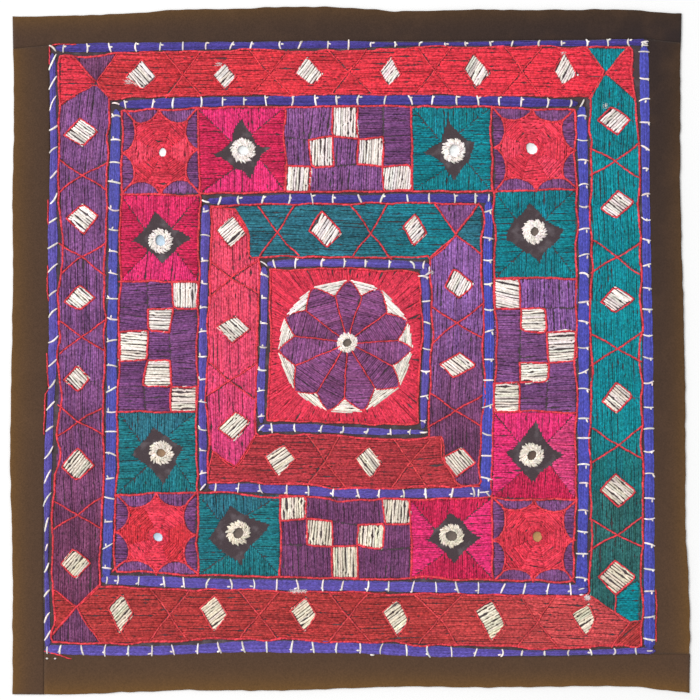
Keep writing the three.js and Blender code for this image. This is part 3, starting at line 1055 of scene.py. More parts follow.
def lay_yarn(sewing, line, side, lane, couching, places, laps):
    """One yarn of a side; its lane is -1 at the inner edge of the bundle and 1 at the outer edge."""
    length = math.dist(line.corner(side), line.corner(side + 1))
    stagger = END_STAGGER * lane ** 2
    walked = np.linspace(stagger - laps[0], length + laps[1] - stagger, int(length / YARN_STEP))
    share = walked / length
    nearness = np.exp(-((walked[:, None] - places) / PINCH_REACH) ** 2).max(axis=1)
    bundle = smooth_between(couching.widths[side], share) * (FREE_WIDTH - PINCH_WIDTH * nearness)
    width = YARN_OVERLAP * bundle / couching.yarns
    offset = lane * (bundle - width) / 2 + drift(sewing.rng, len(walked), YARN_DRIFT, 7)
    path = np.empty((len(walked), 3))
    path[:, :2] = line.point(side, share) + np.outer(offset, OUTWARD[side])
    path[:, 2] = YARN_BASE + YARN_CROWN * (1 - lane ** 2) * (1 - PINCH_CROWN * nearness)
    height = YARN_HEIGHT * (1 - PINCH_HEIGHT * nearness) * sewing.rng.normal(1, YARN_SPREAD)
    sewing.lay(path, width, height, sewing.tone(couching.colours[side], path[0]))


def lay_tie(ties, start, end, bow):
    """A white stitch over the yarn from one edge of it to the other."""
    reach = end - start
    across = left_of(reach) / math.hypot(*reach)
    path = np.empty((len(TIE_STATIONS), 3))
    path[:, :2] = start + np.outer(TIE_STATIONS, reach)
    path[:, :2] += np.outer(4 * TIE_STATIONS * (1 - TIE_STATIONS) * bow, across)
    path[:, 2] = TIE_ROOT + TIE_RISE * TIE_LIFT
    size = TIE_SIZE * varied(ties.rng, 0.1, 0.75, 1.3)
    ties.lay(path, TIE.width * size, TIE.height * size, ties.tone("white", start))


def add_tie(ties, line, side, share, width, slanted):
    """A white stitch across the yarn, most often with a short tick beside it."""
    rng = ties.rng
    centre = line.point(side, share)
    outward = OUTWARD[side]
    along = np.array([outward[1], -outward[0]])
    lean = rng.uniform(2.2, 6.6) if slanted else rng.normal(0, 0.8)
    reach = width / 2 + TIE_MARGIN + rng.normal(0, 0.35)
    lay_tie(ties, centre + outward * reach - along * lean, centre - outward * reach + along * lean,
            rng.normal(0, 0.7))
    if slanted or rng.random() < NO_TICK:
        return
    top = GROUND_TOP - 0.15 + TIE_LIFT
    root = centre + outward * (TICK_ROOT * width + rng.normal(0, 0.5))
    tip = root + along * rng.uniform(2.0, 3.4) + outward * rng.normal(0.3, 0.8)
    ties.stitch(root, tip, "white", TIE, base=(top - 0.1, top - 0.3), rise=0.0)


# Stitched rows between the frames

# A row's corner is a crossing of two lines with a small field beyond it, or a stepped line
Cross = namedtuple("Cross", "at arriving leaving third third_on threads tones")
Step = namedtuple("Step", "points corner_to")

CROSSINGS = {
    "outer": (
        (-134.0, -64.4, -0.4, 67.6, 138.0),
        (151.2, 75.2, 1.6, -76.0, -147.2),
        (150.0, 71.6, -1.2, -72.4, -145.2),
        (-131.2, -56.8, 11.2, 74.4, 140.0),
    ),
    "inner": ((-58.4, 16.4), (22.4, -48.0), (48.4, -20.4), (-24.0, 57.6)),
}
CROSSING_REACH = {"outer": (15.5, 13.0, 15.8, 12.6), "inner": (15.6, 14.0, 15.0, 14.4)}
ROW_CORNERS = {
    "outer": (
        Cross((-203.2, 214.4), 195.2, -187.2, -222.2, "leaving", ("purple", "red"), ("plum", "red")),
        Cross((204.0, 222.0), 189.2, 200.8, 222.2, "arriving", ("teal", "red"), ("teal", "red")),
        Cross((222.8, -217.6), -216.8, 209.2, None, None, ("crimson",), ("crimson",)),
        Cross((-218.8, -204.8), -200.4, -191.2, -227.2, "leaving", ("crimson", "purple"),
              ("crimson", "plum")),
    ),
    "inner": (
        Step(((-92.4, 113.4), (-82.0, 93.6), (-80.4, 73.6)), "arriving"),
        Cross((85.2, 92.4), 68.4, 76.8, 103.6, "arriving", ("purple", "teal"),
              ("light_purple", "dull_teal")),
        Step(((86.8, -107.6), (82.0, -99.2), (74.8, -88.8), (73.8, -70.2)), "arriving"),
        Step(((-110.6, -80.0), (-91.6, -94.0)), "arriving"),
    ),
}
# The corners of each diamond, and the lean of its strands: -1 along its falling edges, 1 along the others
Diamond = namedtuple("Diamond", "left top right bottom lean")
DIAMONDS = {
    "outer": (
        (Diamond((-178.8, 218.9), (-166.7, 231.7), (-155.6, 219.4), (-166.2, 209.1), -1),
         Diamond((-109.1, 220.0), (-100.2, 229.5), (-91.6, 218.3), (-99.8, 208.9), 1),
         Diamond((-43.3, 221.8), (-34.1, 234.2), (-21.9, 221.4), (-31.0, 211.9), 1),
         Diamond((24.2, 223.1), (33.0, 234.5), (40.4, 220.8), (30.9, 212.6), 1),
         Diamond((92.1, 224.9), (98.9, 236.8), (111.8, 222.2), (101.0, 210.2), 1),
         Diamond((163.5, 223.9), (170.9, 238.2), (181.9, 220.5), (170.1, 212.8), 1)),
        (Diamond((198.7, 184.0), (209.5, 194.5), (223.3, 185.4), (214.1, 173.7), 1),
         Diamond((201.5, 113.7), (214.7, 127.1), (226.7, 118.1), (212.4, 106.3), -1),
         Diamond((201.7, 39.4), (211.9, 50.9), (226.8, 41.1), (210.8, 31.4), -1),
         Diamond((202.2, -40.2), (213.7, -26.3), (225.7, -36.6), (213.1, -50.1), -1),
         Diamond((200.6, -112.0), (212.6, -99.4), (228.6, -112.8), (214.9, -124.6), -1),
         Diamond((199.8, -181.4), (212.1, -169.1), (228.1, -181.1), (212.6, -194.5), -1)),
        (Diamond((177.8, -211.2), (191.3, -202.4), (195.8, -215.2), (189.0, -228.3), 1),
         Diamond((100.7, -208.3), (114.1, -200.6), (123.8, -218.6), (113.3, -231.8), 1),
         Diamond((26.5, -209.3), (38.5, -199.9), (46.5, -215.3), (37.9, -228.5), 1),
         Diamond((-47.6, -207.3), (-35.0, -197.4), (-27.4, -211.3), (-36.4, -224.7), 1),
         Diamond((-119.6, -205.9), (-107.9, -196.6), (-98.2, -210.9), (-108.7, -223.8), 1),
         Diamond((-192.5, -206.3), (-181.9, -195.2), (-173.7, -210.3), (-183.9, -225.5), 1)),
        (Diamond((-230.8, -170.9), (-221.1, -159.1), (-207.9, -169.1), (-219.4, -182.3), 1),
         Diamond((-229.3, -92.8), (-218.2, -78.9), (-205.1, -91.4), (-218.2, -103.2), 1),
         Diamond((-228.2, -23.2), (-217.7, -12.2), (-207.9, -22.3), (-217.1, -32.6), -1),
         Diamond((-227.7, 39.4), (-216.5, 52.3), (-204.9, 42.1), (-216.5, 33.1), -1),
         Diamond((-226.2, 105.7), (-213.7, 117.1), (-201.9, 107.7), (-213.1, 93.7), -1),
         Diamond((-227.4, 172.0), (-215.9, 185.1), (-202.0, 175.2), (-213.7, 163.7), -1)),
    ),
    "inner": (
        (Diamond((-31.1, 96.2), (-21.6, 111.2), (-7.2, 94.0), (-18.4, 83.2), 1),
         Diamond((43.0, 98.4), (52.4, 108.8), (61.2, 93.6), (50.8, 84.0), 1)),
        (Diamond((76.7, 51.4), (83.6, 65.4), (99.0, 53.5), (87.9, 42.1), 1),
         Diamond((72.2, -10.9), (87.6, -2.3), (100.2, -12.0), (82.5, -21.1), -1),
         Diamond((74.7, -85.4), (88.9, -77.6), (99.6, -90.1), (85.2, -101.0), -1)),
        (Diamond((5.1, -86.2), (15.4, -77.3), (25.1, -89.8), (16.5, -101.5), -1),
         Diamond((-67.5, -84.7), (-53.2, -75.2), (-44.3, -87.0), (-57.2, -100.1), 1)),
        (Diamond((-104.7, -62.6), (-91.3, -49.7), (-80.2, -57.4), (-92.4, -71.7), 1),
         Diamond((-106.1, 19.4), (-91.5, 27.2), (-80.1, 16.6), (-94.7, 6.5), -1),
         Diamond((-106.3, 96.0), (-93.2, 107.5), (-83.3, 93.6), (-96.1, 82.9), 1)),
    ),
}
# The ends of the ivory stitches go down inside a diamond's corners, so it is sewn a little larger
DIAMOND_GROWTH = 1.06
# The side where the long stitches end beside the diamonds
MET_SIDE = "row_outer_right"
ROW_THREADS = {
    "outer": ("red", "teal", "crimson", "purple"),
    "inner": ("teal", "purple", "crimson", "red"),
}
# The lines at the outer and inner edge of each row, with their offsets
ROW_EDGES = {
    "outer": ((ROW_EDGE, 0.0), (FRAMES["second"], OUTER_ROW_INSIDE)),
    "inner": ((FRAMES["third"], -INNER_ROW_OUTSIDE), (FRAMES["inner"], INNER_ROW_INSIDE)),
}

# The lines over the stitches of a row: thin ones on red, and stronger ones on the rest
ROW_LINES = {
    "red": (THIN_LINE, "line_red"),
    "crimson": (MIDDLE_LINE, "line_faded"),
    "teal": (MIDDLE_LINE, "line_red"),
    "purple": (MIDDLE_LINE, "line_red"),
}
# A small field of its own in the last cell of the outer row's right side, and the line beside it
INSET = ((213.4, -196.5), (226.8, -185.5), (231.6, -184.5), (231.8, -215.8), (223.4, -216.2),
         (212.8, -209.4))
INSET_LINE = ((212.6, -195.0), (212.2, -210.0))
# The lean of the stitches in a corner that is one field
CORNER_LEAN = 40

ROW_TONES = {
    "outer": (blend_tones("dull_red", "bright_red", -200, 200, 0),
              blend_tones("deep_teal", "teal", -135, -50, 1),
              blend_tones("crimson", "light_crimson", 40, 180, 0),
              blend_tones("wine_purple", "purple", -160, -10, 1)),
    "inner": (blend_tones("dull_teal", "star_teal", 0, 100, 0),
              blend_tones("plum", "pale_purple", -55, 35, 1), "deep_crimson",
              blend_tones("dusk_magenta", "rose", -70, 20, 1)),
}


class Row:
    """A band between two frames; across it, 0 is its outer edge and 1 its inner edge."""

    def __init__(self, name):
        self.name = name
        (self.outer, self.outer_offset), (self.inner, self.inner_offset) = ROW_EDGES[name]
        rng = np.random.default_rng(len(name))
        self.crossings = [[self.crossing(side, along, rng) for along in CROSSINGS[name][side]]
                          for side in range(4)]

    def at(self, side, along, across):
        start = self.outer.at(side, along, self.outer_offset)
        end = self.inner.at(side, along, self.inner_offset)
        return (1 - across) * start + across * end

    def outer_at(self, side, along):
        return self.outer.at(side, along, self.outer_offset)

    def outer_corner(self, index):
        return self.outer.corner(index, self.outer_offset)

    def crossing(self, side, along, rng):
        """The middle of a crossing, and its ends on both edges, the ones before it and the ones after."""
        reach = RUN[side] * CROSSING_REACH[self.name][side]
        ends = []
        for way in (-1, 1):
            places = along + way * reach * rng.normal(1, 0.1, 2)
            ends.append([self.at(side, place, across) for across, place in enumerate(places)])
        return self.at(side, along, rng.normal(0.5, 0.02)), *ends

    def ends(self, index):
        """The edges, from the outer line to the inner corner, of the sides that meet at a corner."""
        rule = ROW_CORNERS[self.name][index]
        inner_corner = self.inner.corner(index, self.inner_offset)
        if isinstance(rule, Cross):
            arriving = [self.outer_at((index - 1) % 4, rule.arriving), rule.at, inner_corner]
            leaving = [self.outer_at(index, rule.leaving), rule.at, inner_corner]
            return arriving, leaving
        edge = [*rule.points, inner_corner]
        with_corner = [self.outer_corner(index), *edge]
        return (with_corner, edge) if rule.corner_to == "arriving" else (edge, with_corner)

    def cells(self, side):
        """The fields between the crossings of a side, and the small ones beside each crossing."""
        start = self.ends(side)[1]
        for middle, before, after in self.crossings[side]:
            yield self.field(side, start, [before[0], middle, before[1]])
            yield [before[0], middle, after[0]]
            yield [before[1], middle, after[1]]
            start = [after[0], middle, after[1]]
        yield self.field(side, start, self.ends((side + 1) % 4)[0])

    def field(self, side, start, end):
        axis = side % 2
        inner = np.linspace(start[-1][axis], end[-1][axis], 5)[1:-1]
        outer = np.linspace(end[0][axis], start[0][axis], 5)[1:-1]
        return np.array([*start, *self.at(side, inner, 1), *reversed(end), *self.at(side, outer, 0)])


def inside(point, loop):
    """Whether a point lies inside a closed loop."""
    loop = np.asarray(loop, float)
    after = np.roll(loop, -1, axis=0)
    rising = (loop[:, 1] <= point[1]) != (after[:, 1] <= point[1])
    first, second = loop[rising], after[rising]
    at = first[:, 0] + (point[1] - first[:, 1]) / (second[:, 1] - first[:, 1]) * (second[:, 0] - first[:, 0])
    return np.count_nonzero(at > point[0]) % 2 == 1


def add_row(name, patches):
    row = Row(name)
    lines = Sewing(f"outlines_row_{name}")
    ivory = Sewing(f"diamonds_{name}")
    diamonds = []
    for side in range(4):
        kind, colour = ROW_LINES[ROW_THREADS[name][side]]
        for shape in DIAMONDS[name][side]:
            corners = grown(shape[:4], DIAMOND_GROWTH)
            edge = corners[1] - corners[2] if shape.lean < 0 else corners[1] - corners[0]
            ivory.fill([corners], heading(edge), WHITE_FLOSS, IVORY)
            lines.outline(corners, kind, colour, wander=0.3, closed=True)
            diamonds.append(corners)
    for side in range(4):
        add_row_side(row, side, diamonds, lines)
        add_row_corner(row, side, patches, lines)
    lines.outline(row.outer.loop(row.outer_offset), wander=0.9, closed=True)
    lines.outline(row.inner.loop(row.inner_offset), wander=0.7, closed=True)
    lines.piece("red_thread")
    ivory.piece("ivory_thread")


def add_row_side(row, side, diamonds, lines):
    node = f"row_{row.name}_{SIDES[side]}"
    thread = ROW_THREADS[row.name][side]
    tone = ROW_TONES[row.name][side]
    kind, colour = ROW_LINES[thread]
    sewing = Sewing(f"{node}_stitches")
    for loop in row.cells(side):
        holes = [corners for corners in diamonds if inside(corners.mean(axis=0), loop)]
        meet = holes[0].mean(axis=0) if holes and node == MET_SIDE else None
        if inside(np.mean(INSET, axis=0), loop):
            sewing.fill([INSET], sewing.rng.normal(0, 3), "teal", LOOSE_SATIN)
            lines.outline(INSET_LINE, kind, colour)
            holes.append(INSET)
        angle = 90 * (side % 2) + sewing.rng.normal(0, 2.0)
        sewing.fill([loop, *holes], angle, tone, LOOSE_SATIN, meet)
    sewing.piece(f"{thread}_thread", node)
    for middle, before, after in row.crossings[side]:
        lines.outline([before[0], middle, after[1]], kind, colour)
        lines.outline([after[0], middle, before[1]], kind, colour)
    for edge in row.ends(side):
        lines.outline(edge, kind, colour)


def add_row_corner(row, index, patches, lines):
    """The small fields in the outer angle of a crossing at a row's corner."""
    rule = ROW_CORNERS[row.name][index]
    if not isinstance(rule, Cross):
        return
    before = (index - 1) % 4
    arrival = row.outer_at(before, rule.arriving)
    departure = row.outer_at(index, rule.leaving)
    corner = row.outer_corner(index)
    if rule.third is None:
        field = [arrival, corner, departure, rule.at]
        patches[rule.threads[0]].fill([field], CORNER_LEAN, rule.tones[0], LOOSE_SATIN)
        return
    side = index if rule.third_on == "leaving" else before
    split = row.outer_at(side, rule.third)
    if rule.third_on == "leaving":
        wedge, rest = [split, departure, rule.at], [arrival, corner, split, rule.at]
    else:
        wedge, rest = [arrival, split, rule.at], [split, corner, departure, rule.at]
    angle = 90 - 90 * (side % 2)
    patches[rule.threads[0]].fill([wedge], angle, rule.tones[0])
    patches[rule.threads[1]].fill([rest], angle - 90, rule.tones[1], LOOSE_SATIN)
    lines.outline([split, rule.at])


# Blocks between the second and third frame

DIVIDERS = (
    (-122.0, -51.6, 49.2, 113.0),
    (129.0, 57.6, -49.0, -119.5),
    (115.0, 48.0, -55.6, -121.6),
    (-115.0, -48.8, 55.2, 124.5),
)
BLOCKS = (
    ("star_top_left", "checker_top", "star_top_right"),
    ("star_right_upper", "checker_right", "star_right_lower"),
    ("star_bottom_right", "checker_bottom", "star_bottom_left"),
    ("star_left_lower", "checker_left", "star_left_upper"),
)
# For each star: thread, its mirror's place, tint and the radius that shows of it, the tones of its upper,
# right, lower and left fields, which are painted sheen, lighter and deeper copies of its thread, and the
# direction and reach of its tips and of the notches after them
Star = namedtuple("Star", "thread mirror tint hole tones tips notches")
STARS = {
    "star_top_left": Star(
        "magenta", (-85.4, 160.0), "bright", 4.0, "bdbd",
        ((92, 24.6), (8, 22.2), (-76, 22.7), (190, 24.6)),
        ((62, 14.4), (-26, 13.9), (-115, 15.5), (142, 11.8))),
    "star_top_right": Star(
        "teal", (83.2, 159.8), "bright", 4.4, "bbbb",
        ((103, 26.7), (23, 17.7), (-90, 23.4), (185, 24.6)),
        ((75, 14.7), (-41, 14.3), (-113, 15.7), (145, 12.2))),
    "star_right_upper": Star(
        "teal", (147.6, 95.0), "grey", 3.4, "bbbb",
        ((100, 23.1), (5, 23.1), (-79, 26.3), (195, 23.5)),
        ((50, 12.2), (-38, 18.1), (-120, 17.8), (146, 18.0))),
    "star_right_lower": Star(
        "magenta", (145.3, -83.7), "brown", 3.7, "bldb",
        ((82, 28.2), (2, 27.5), (-83, 21.7), (172, 20.2)),
        ((38, 15.7), (-28, 17.0), (-119, 14.6), (136, 13.9))),
    "star_bottom_right": Star(
        "magenta", (81.2, -148.2), "grey", 4.4, "dbdb",
        ((96, 17.7), (-3, 23.1), (-83, 22.2), (190, 20.7)),
        ((52, 13.9), (-45, 15.0), (-110, 14.2), (159, 14.1))),
    "star_bottom_left": Star(
        "teal", (-89.2, -145.9), "grey", 4.1, "dmmm",
        ((105, 22.5), (15, 26.1), (-85, 25.9), (191, 23.4)),
        ((66, 14.8), (-41, 14.2), (-117, 19.5), (148, 17.4))),
    "star_left_lower": Star(
        "teal", (-151.0, -81.8), "tan", 3.4, "dmmm",
        ((108, 21.7), (13, 17.6), (-86, 24.9), (188, 22.1)),
        ((70, 13.4), (-36, 14.0), (-135, 14.5), (154, 16.9))),
    "star_left_upper": Star(
        "magenta", (-151.6, 87.8), "blue", 4.2, "mdbd",
        ((100, 24.2), (3, 24.8), (-86, 18.7), (183, 23.3)),
        ((48, 13.1), (-33, 14.0), (-137, 12.7), (143, 15.0))),
}
# Painted sheen: the lighter (b) and deeper (l, m, d) copies of each star's thread that its fields are given
# one by one
STAR_SHEEN_TONES = {
    "magenta": {"b": "magenta", "l": "dusk_magenta", "m": "mid_magenta", "d": "deep_magenta"},
    "teal": {"b": "star_teal", "m": "soft_teal", "d": "dull_teal"},
}
STAR_RING = 10.0

# For each rosette: its middle, its mirror's tint and the radius that shows of it, the length of its spokes,
# how slowly its half moons close at the middle of an edge, and the tones of its sectors, which are painted
# sheen, lit and shaded copies of the web's red
Rosette = namedtuple("Rosette", "centre tint hole spoke closing tones")
ROSETTES = (
    Rosette((-149.8, 158.3), "bright", 3.3, 12.9, 4.0, "mmmlmmml"),
    Rosette((145.2, 161.3), "bright", 4.7, 12.2, 2.5, "mwwwlwml"),
    Rosette((149.6, -148.8), "brass", 4.1, 11.2, 0.5, "mwwwwwmm"),
    Rosette((-153.4, -149.2), "sky", 3.7, 13.3, 2.5, "dwwddwwd"),
)
# Painted sheen: lit and shaded copies of the web's red, from dull to light, for the sectors
WEB_SHEEN_TONES = {"d": "web_dull", "m": "web_red", "w": "web_warm", "l": "web_light"}
# How far a sector laps its neighbours, how far every second one is lifted, and where they start at the hole
SECTOR_LAP = 0.4
SECTOR_LIFT = 0.22
SECTOR_START = 1.5
# How a half moon's edge leaves its spoke, along and square to the block's edge, and how it closes
MOON_LEAVES = (7.0, 4.0)
MOON_CLOSES = 10.0
# The rounds of thread at a rosette's mirror: their heights, the first radius past the hole, and the stitches
WEB_LEVELS = (MIRROR_TOP + 0.25, MIRROR_TOP + 0.1, MIRROR_TOP - 0.1, GROUND_TOP + 0.2)
WEB_START = 0.8
WEB_STEP = 1.1
WEB_STITCHES = 10
WEB_LAP = 7.0
WEB_BOW = -0.35

# The cells of each checker: ivory cells by the run of their strands, I up and - across, and purple
# cells the same way, v up and h across; the shares where its columns and rows end; and its purples for
# upright and level cells, where they differ lighter and deeper copies of one thread as painted sheen
Checker = namedtuple("Checker", "chart columns rows upright level")
CHECKERS = {
    "checker_top": Checker(("vvIhh", "vIvIh", "IvvvI"), (0, 0.19, 0.376, 0.568, 0.776, 1),
                           (0, 0.36, 0.69, 1), "light_purple", "deep_purple"),
    "checker_right": Checker(("-vv", "h-v", "hh-", "h-h", "-hh"), (0, 0.315, 0.636, 1),
                             (0, 0.22, 0.397, 0.614, 0.79, 1), "pale_purple", "purple"),
    "checker_bottom": Checker(("IvvvI", "vIvIv", "vvIvv"), (0, 0.205, 0.398, 0.598, 0.787, 1),
                              (0, 0.31, 0.61, 1), "dark_purple", "dark_purple"),
    "checker_left": Checker(("hhI", "h-h", "-hh", "h-h", "hh-"), (0, 0.35, 0.668, 1),
                            (0, 0.208, 0.396, 0.612, 0.808, 1), "deep_purple", "deep_purple"),
}
COARSE_TONES = ("light_purple", "pale_purple")


def inner_at(side, coordinate):
    """Where a coordinate meets the blocks' inner edge, or the nearest corner of it."""
    inner = FRAMES["third"]
    share = np.clip(inner.share(side, coordinate, BLOCK_INSIDE), 0, 1)
    return inner.point(side, share, BLOCK_INSIDE)


def block_corners(side, index):
    """A side block's corners, clockwise from its upper left one."""
    outer = FRAMES["second"]
    start, end = DIVIDERS[side][index:index + 2]
    corners = [outer.at(side, start, -BLOCK_OUTSIDE), outer.at(side, end, -BLOCK_OUTSIDE),
               inner_at(side, end), inner_at(side, start)]
    return np.roll(np.array(corners), side, axis=0)


def rosette_corners(index):
    """A corner block's corners, clockwise from its upper left one."""
    outer, before = FRAMES["second"], (index - 1) % 4
    corners = [outer.corner(index, -BLOCK_OUTSIDE),
               outer.at(index, DIVIDERS[index][0], -BLOCK_OUTSIDE),
               FRAMES["third"].corner(index, BLOCK_INSIDE),
               outer.at(before, DIVIDERS[before][3], -BLOCK_OUTSIDE)]
    return np.roll(np.array(corners), index, axis=0)


def swollen(start, end, bulge, steps=5):
    """A line between two points that bulges to its left by a share of its length."""
    reach = np.asarray(end, float) - start
    across = bulge * left_of(reach)
    return [start + part * reach + 4 * part * (1 - part) * across for part in np.linspace(0, 1, steps + 1)]


def add_star(name, corners):
    star = STARS[name]
    sewing = Sewing(f"{name}_stitches")
    tips = [polar(star.mirror, reach, angle) for angle, reach in star.tips]
    notches = [polar(star.mirror, reach, angle) for angle, reach in star.notches]
    for field in range(4):
        after = (field + 1) % 4
        bulges = sewing.rng.normal(0.03, 0.06, 2)
        loop = [corners[field], corners[after], *swollen(notches[field], tips[field], bulges[0]),
                *swollen(tips[field], notches[field - 1], bulges[1])[1:]]
        # Painted sheen: each field takes its own lighter or deeper copy of the thread
        tone = STAR_SHEEN_TONES[star.thread][star.tones[field]]
        sewing.fill([loop], 90 - 90 * (field % 2) + sewing.rng.normal(0, 2.5), tone, LOOSE_SATIN)
    sewing.piece(f"{star.thread}_thread", name)
    add_ring(f"ring_{name}", star.mirror, star.hole, STAR_RING)
    add_mirror(f"mirror_{name}", star.mirror, star.tint)


def moon_curve(corner, middle, rosette):
    """The inner edge of a half moon, from the end of a spoke at a corner to the middle of an edge."""
    centre = np.array(rosette.centre)
    start = corner + rosette.spoke * (centre - corner) / math.dist(centre, corner)
    edge = (middle - corner) / math.dist(middle, corner)
    square = left_of(edge)
    square = square * np.sign(square @ (centre - middle))
    leaving = start + MOON_LEAVES[0] * edge + MOON_LEAVES[1] * square
    closing = middle - rosette.closing * edge + MOON_CLOSES * square
    return bezier([start, leaving, closing, middle])


def rosette_curves(index, rng):
    """The inner edges of a rosette's eight half moons, clockwise, and the outlines of the moons."""
    rosette, corners = ROSETTES[index], rosette_corners(index)
    curves, moons = [], []
    for corner, after in zip(corners, np.roll(corners, -1, axis=0)):
        middle = (corner + after) / 2 + rng.normal(0, 0.8, 2)
        first, second = moon_curve(corner, middle, rosette), moon_curve(after, middle, rosette)[::-1]
        curves += [first, second]
        moons += [[corner, *first], [*second, after]]
    return curves, moons


def sector_loop(before, curve, centre, start):
    """A sector of a rosette's web, from beside one curve's middle to beside the next one's."""
    half = len(curve) // 2
    first = before[half] + SECTOR_LAP * (before[half - 1] - before[half])
    last = curve[half] + SECTOR_LAP * (curve[half + 1] - curve[half])
    rim = [polar(centre, start, heading(point - centre)) for point in (first, last)]
    return [rim[0], first, *before[half:], *curve[1:half + 1], last, rim[1]]


def add_rosette(index, patches, lines):
    node = f"rosette_{CORNERS[index]}"
    rosette = ROSETTES[index]
    centre = np.array(rosette.centre)
    sewing = Sewing(f"{node}_stitches")
    curves, moons = rosette_curves(index, sewing.rng)
    for moon in moons[::2]:
        lines.outline(moon[:2])
    for number, curve in enumerate(curves):
        loop = sector_loop(curves[number - 1], curve, centre, rosette.hole + SECTOR_START)
        lean = heading(curve[0] - centre) + 90
        base = FIELD_BASE + SECTOR_LIFT * (number % 2)
        tone = WEB_SHEEN_TONES[rosette.tones[number]]
        sewing.fill([loop], lean + sewing.rng.normal(0, 4), tone, SATIN, base=base)
        upright = number // 2 % 2 == 0
        # Painted sheen: moons whose stitches run up take the lighter purple, those whose stitches run across
        # the deeper one
        patches["purple"].fill([moons[number]], 90 if upright else 0, "purple" if upright else "deep_purple")
        lines.outline(curve, wander=0.3)
    add_web_rim(sewing, centre, rosette.hole)
    sewing.piece("red_thread", node)
    add_mirror(f"mirror_{node}", centre, rosette.tint)


def add_web_rim(sewing, centre, hole):
    """Rounds of thread that hold the mirror in the middle of a rosette."""
    tilt = sewing.rng.uniform(0, 180)
    turn = 360 / WEB_STITCHES
    for number, height in enumerate(WEB_LEVELS):
        radius = hole + WEB_START + WEB_STEP * number
        for step in range(WEB_STITCHES):
            angles = turn * step + np.array([-WEB_LAP, turn + WEB_LAP]) + sewing.rng.normal(0, 3, 2)
            start, end = (polar(centre, squeezed(radius, angle, tilt) * sewing.rng.normal(1, 0.03), angle)
                          for angle in angles)
            sewing.stitch(start, end, "web_red", SATIN, base=(height, height), bow=WEB_BOW)


def add_checker(name, corners, lines):
    sewing = Sewing(f"{name}_stitches")
    ivory = Sewing(f"squares_{name}")
    checker = CHECKERS[name]
    down, across = np.meshgrid(checker.rows, checker.columns, indexing="ij")
    lattice = bilinear(corners, across[..., None], down[..., None])
    lattice[1:-1, 1:-1] += sewing.rng.normal(0, 1.3, lattice[1:-1, 1:-1].shape)
    for row, marks in enumerate(checker.chart):
        for column, mark in enumerate(marks):
            cell = [lattice[row, column], lattice[row, column + 1], lattice[row + 1, column + 1],
                    lattice[row + 1, column]]
            upright = mark in "Iv"
            angle = (90 if upright else 0) + sewing.rng.normal(0, 4.0)
            if mark in "I-":
                ivory.fill([cell], angle, WHITE_FLOSS, IVORY)
                lines.outline(cell, wander=0.3, closed=True)
            else:
                # Painted sheen: upright and level cells take their own copies of the purple
                tone = checker.upright if upright else checker.level
                sewing.fill([cell], angle, tone, COARSE_SATIN if tone in COARSE_TONES else LOOSE_SATIN)
    sewing.piece("purple_thread", name)
    ivory.piece("ivory_thread")


def add_blocks(patches):
    lines = Sewing("outlines_blocks")
    for side in range(4):
        for index, name in enumerate(BLOCKS[side]):
            corners = block_corners(side, index)
            if name in STARS:
                add_star(name, corners)
            else:
                add_checker(name, corners, lines)
        for coordinate in DIVIDERS[side]:
            outer = FRAMES["second"].at(side, coordinate, -BLOCK_OUTSIDE)
            lines.outline([outer, inner_at(side, coordinate)])
        add_rosette(side, patches, lines)
    lines.outline(FRAMES["second"].loop(-BLOCK_OUTSIDE), wander=0.7, closed=True)
    lines.outline(FRAMES["third"].loop(BLOCK_INSIDE), wander=0.7, closed=True)
    lines.piece("red_thread")


# The flower in the middle

FLOWER_CENTRE = (-3.6, 3.2)
FLOWER_RADIUS = 54.0
NOTCH_RADIUS = 42.2
PETAL_TIPS = (87, 59, 22, -2, -37, -74, -105, -139, -177, -206, -240)
PETAL_NOTCHES = (73, 39, 7, -22, -55, -91, -122, -159, -192, -222, -258)
PETAL_BULGE = 0.04
PETAL_ROOT = 6.5
PETAL_LEAN = 18
RIM_ROUNDNESS = 0.5
RIM_POINTS = 7
RIM_LIFT = 0.3
# The stitches round the flower: their start, the points of the square, those left out, and their slits
SURROUND_START = 50.6
SURROUND_STEPS = 720
SURROUND_SPREAD = 0.12
SHORTEST_RAY = 1.2
MISSING_RAYS = 0.02
RAY_SLITS = 0.42
RAY_SLIT = (1.0, 0.6, 0.5)
WIDE_GAPS = 0.03
WIDE_SLIT = (4.0, 0.9)
CENTRE_MIRROR = (-2.2, 6.2)
CENTRE_RING = (3.3, 8.6)


def add_flower():
    sewing = Sewing("centre_flower_stitches")
    petals = Sewing("centre_petals")
    ivory = Sewing("centre_rim_ivory")
    lines = Sewing("outlines_centre")
    centre = np.array(FLOWER_CENTRE)
    add_surround(sewing, centre)
    tips = [polar(centre, FLOWER_RADIUS, angle) for angle in PETAL_TIPS]
    notches = [polar(centre, NOTCH_RADIUS * petals.rng.normal(1, 0.025), angle) for angle in PETAL_NOTCHES]
    for number, tip in enumerate(tips):
        before, notch, after = notches[number - 1], notches[number], tips[(number + 1) % len(tips)]
        roots = [polar(CENTRE_MIRROR, PETAL_ROOT, heading(place - CENTRE_MIRROR))
                 for place in (before, notch)]
        climbing, falling, rising = (swollen(start, end, PETAL_BULGE)
                                     for start, end in ((before, tip), (tip, notch), (notch, after)))
        sew_petal(petals, [roots[0], *climbing, *falling[1:], roots[1]], heading(tip - centre))
        sew_rim(ivory, number, [*falling, *rising[1:]], centre)
        for edge in ([roots[1], notch], falling, rising):
            lines.outline(edge, THIN_LINE, wander=0.3)
    lines.outline(FRAMES["inner"].loop(-CENTRE_MARGIN), wander=0.7, closed=True)
    sewing.piece("red_thread", "centre_flower")
    petals.piece("purple_thread")
    ivory.piece("ivory_thread")
    lines.piece("red_thread")
    add_ring("ring_centre", CENTRE_MIRROR, *CENTRE_RING)
    add_mirror("mirror_centre", CENTRE_MIRROR, "grey")


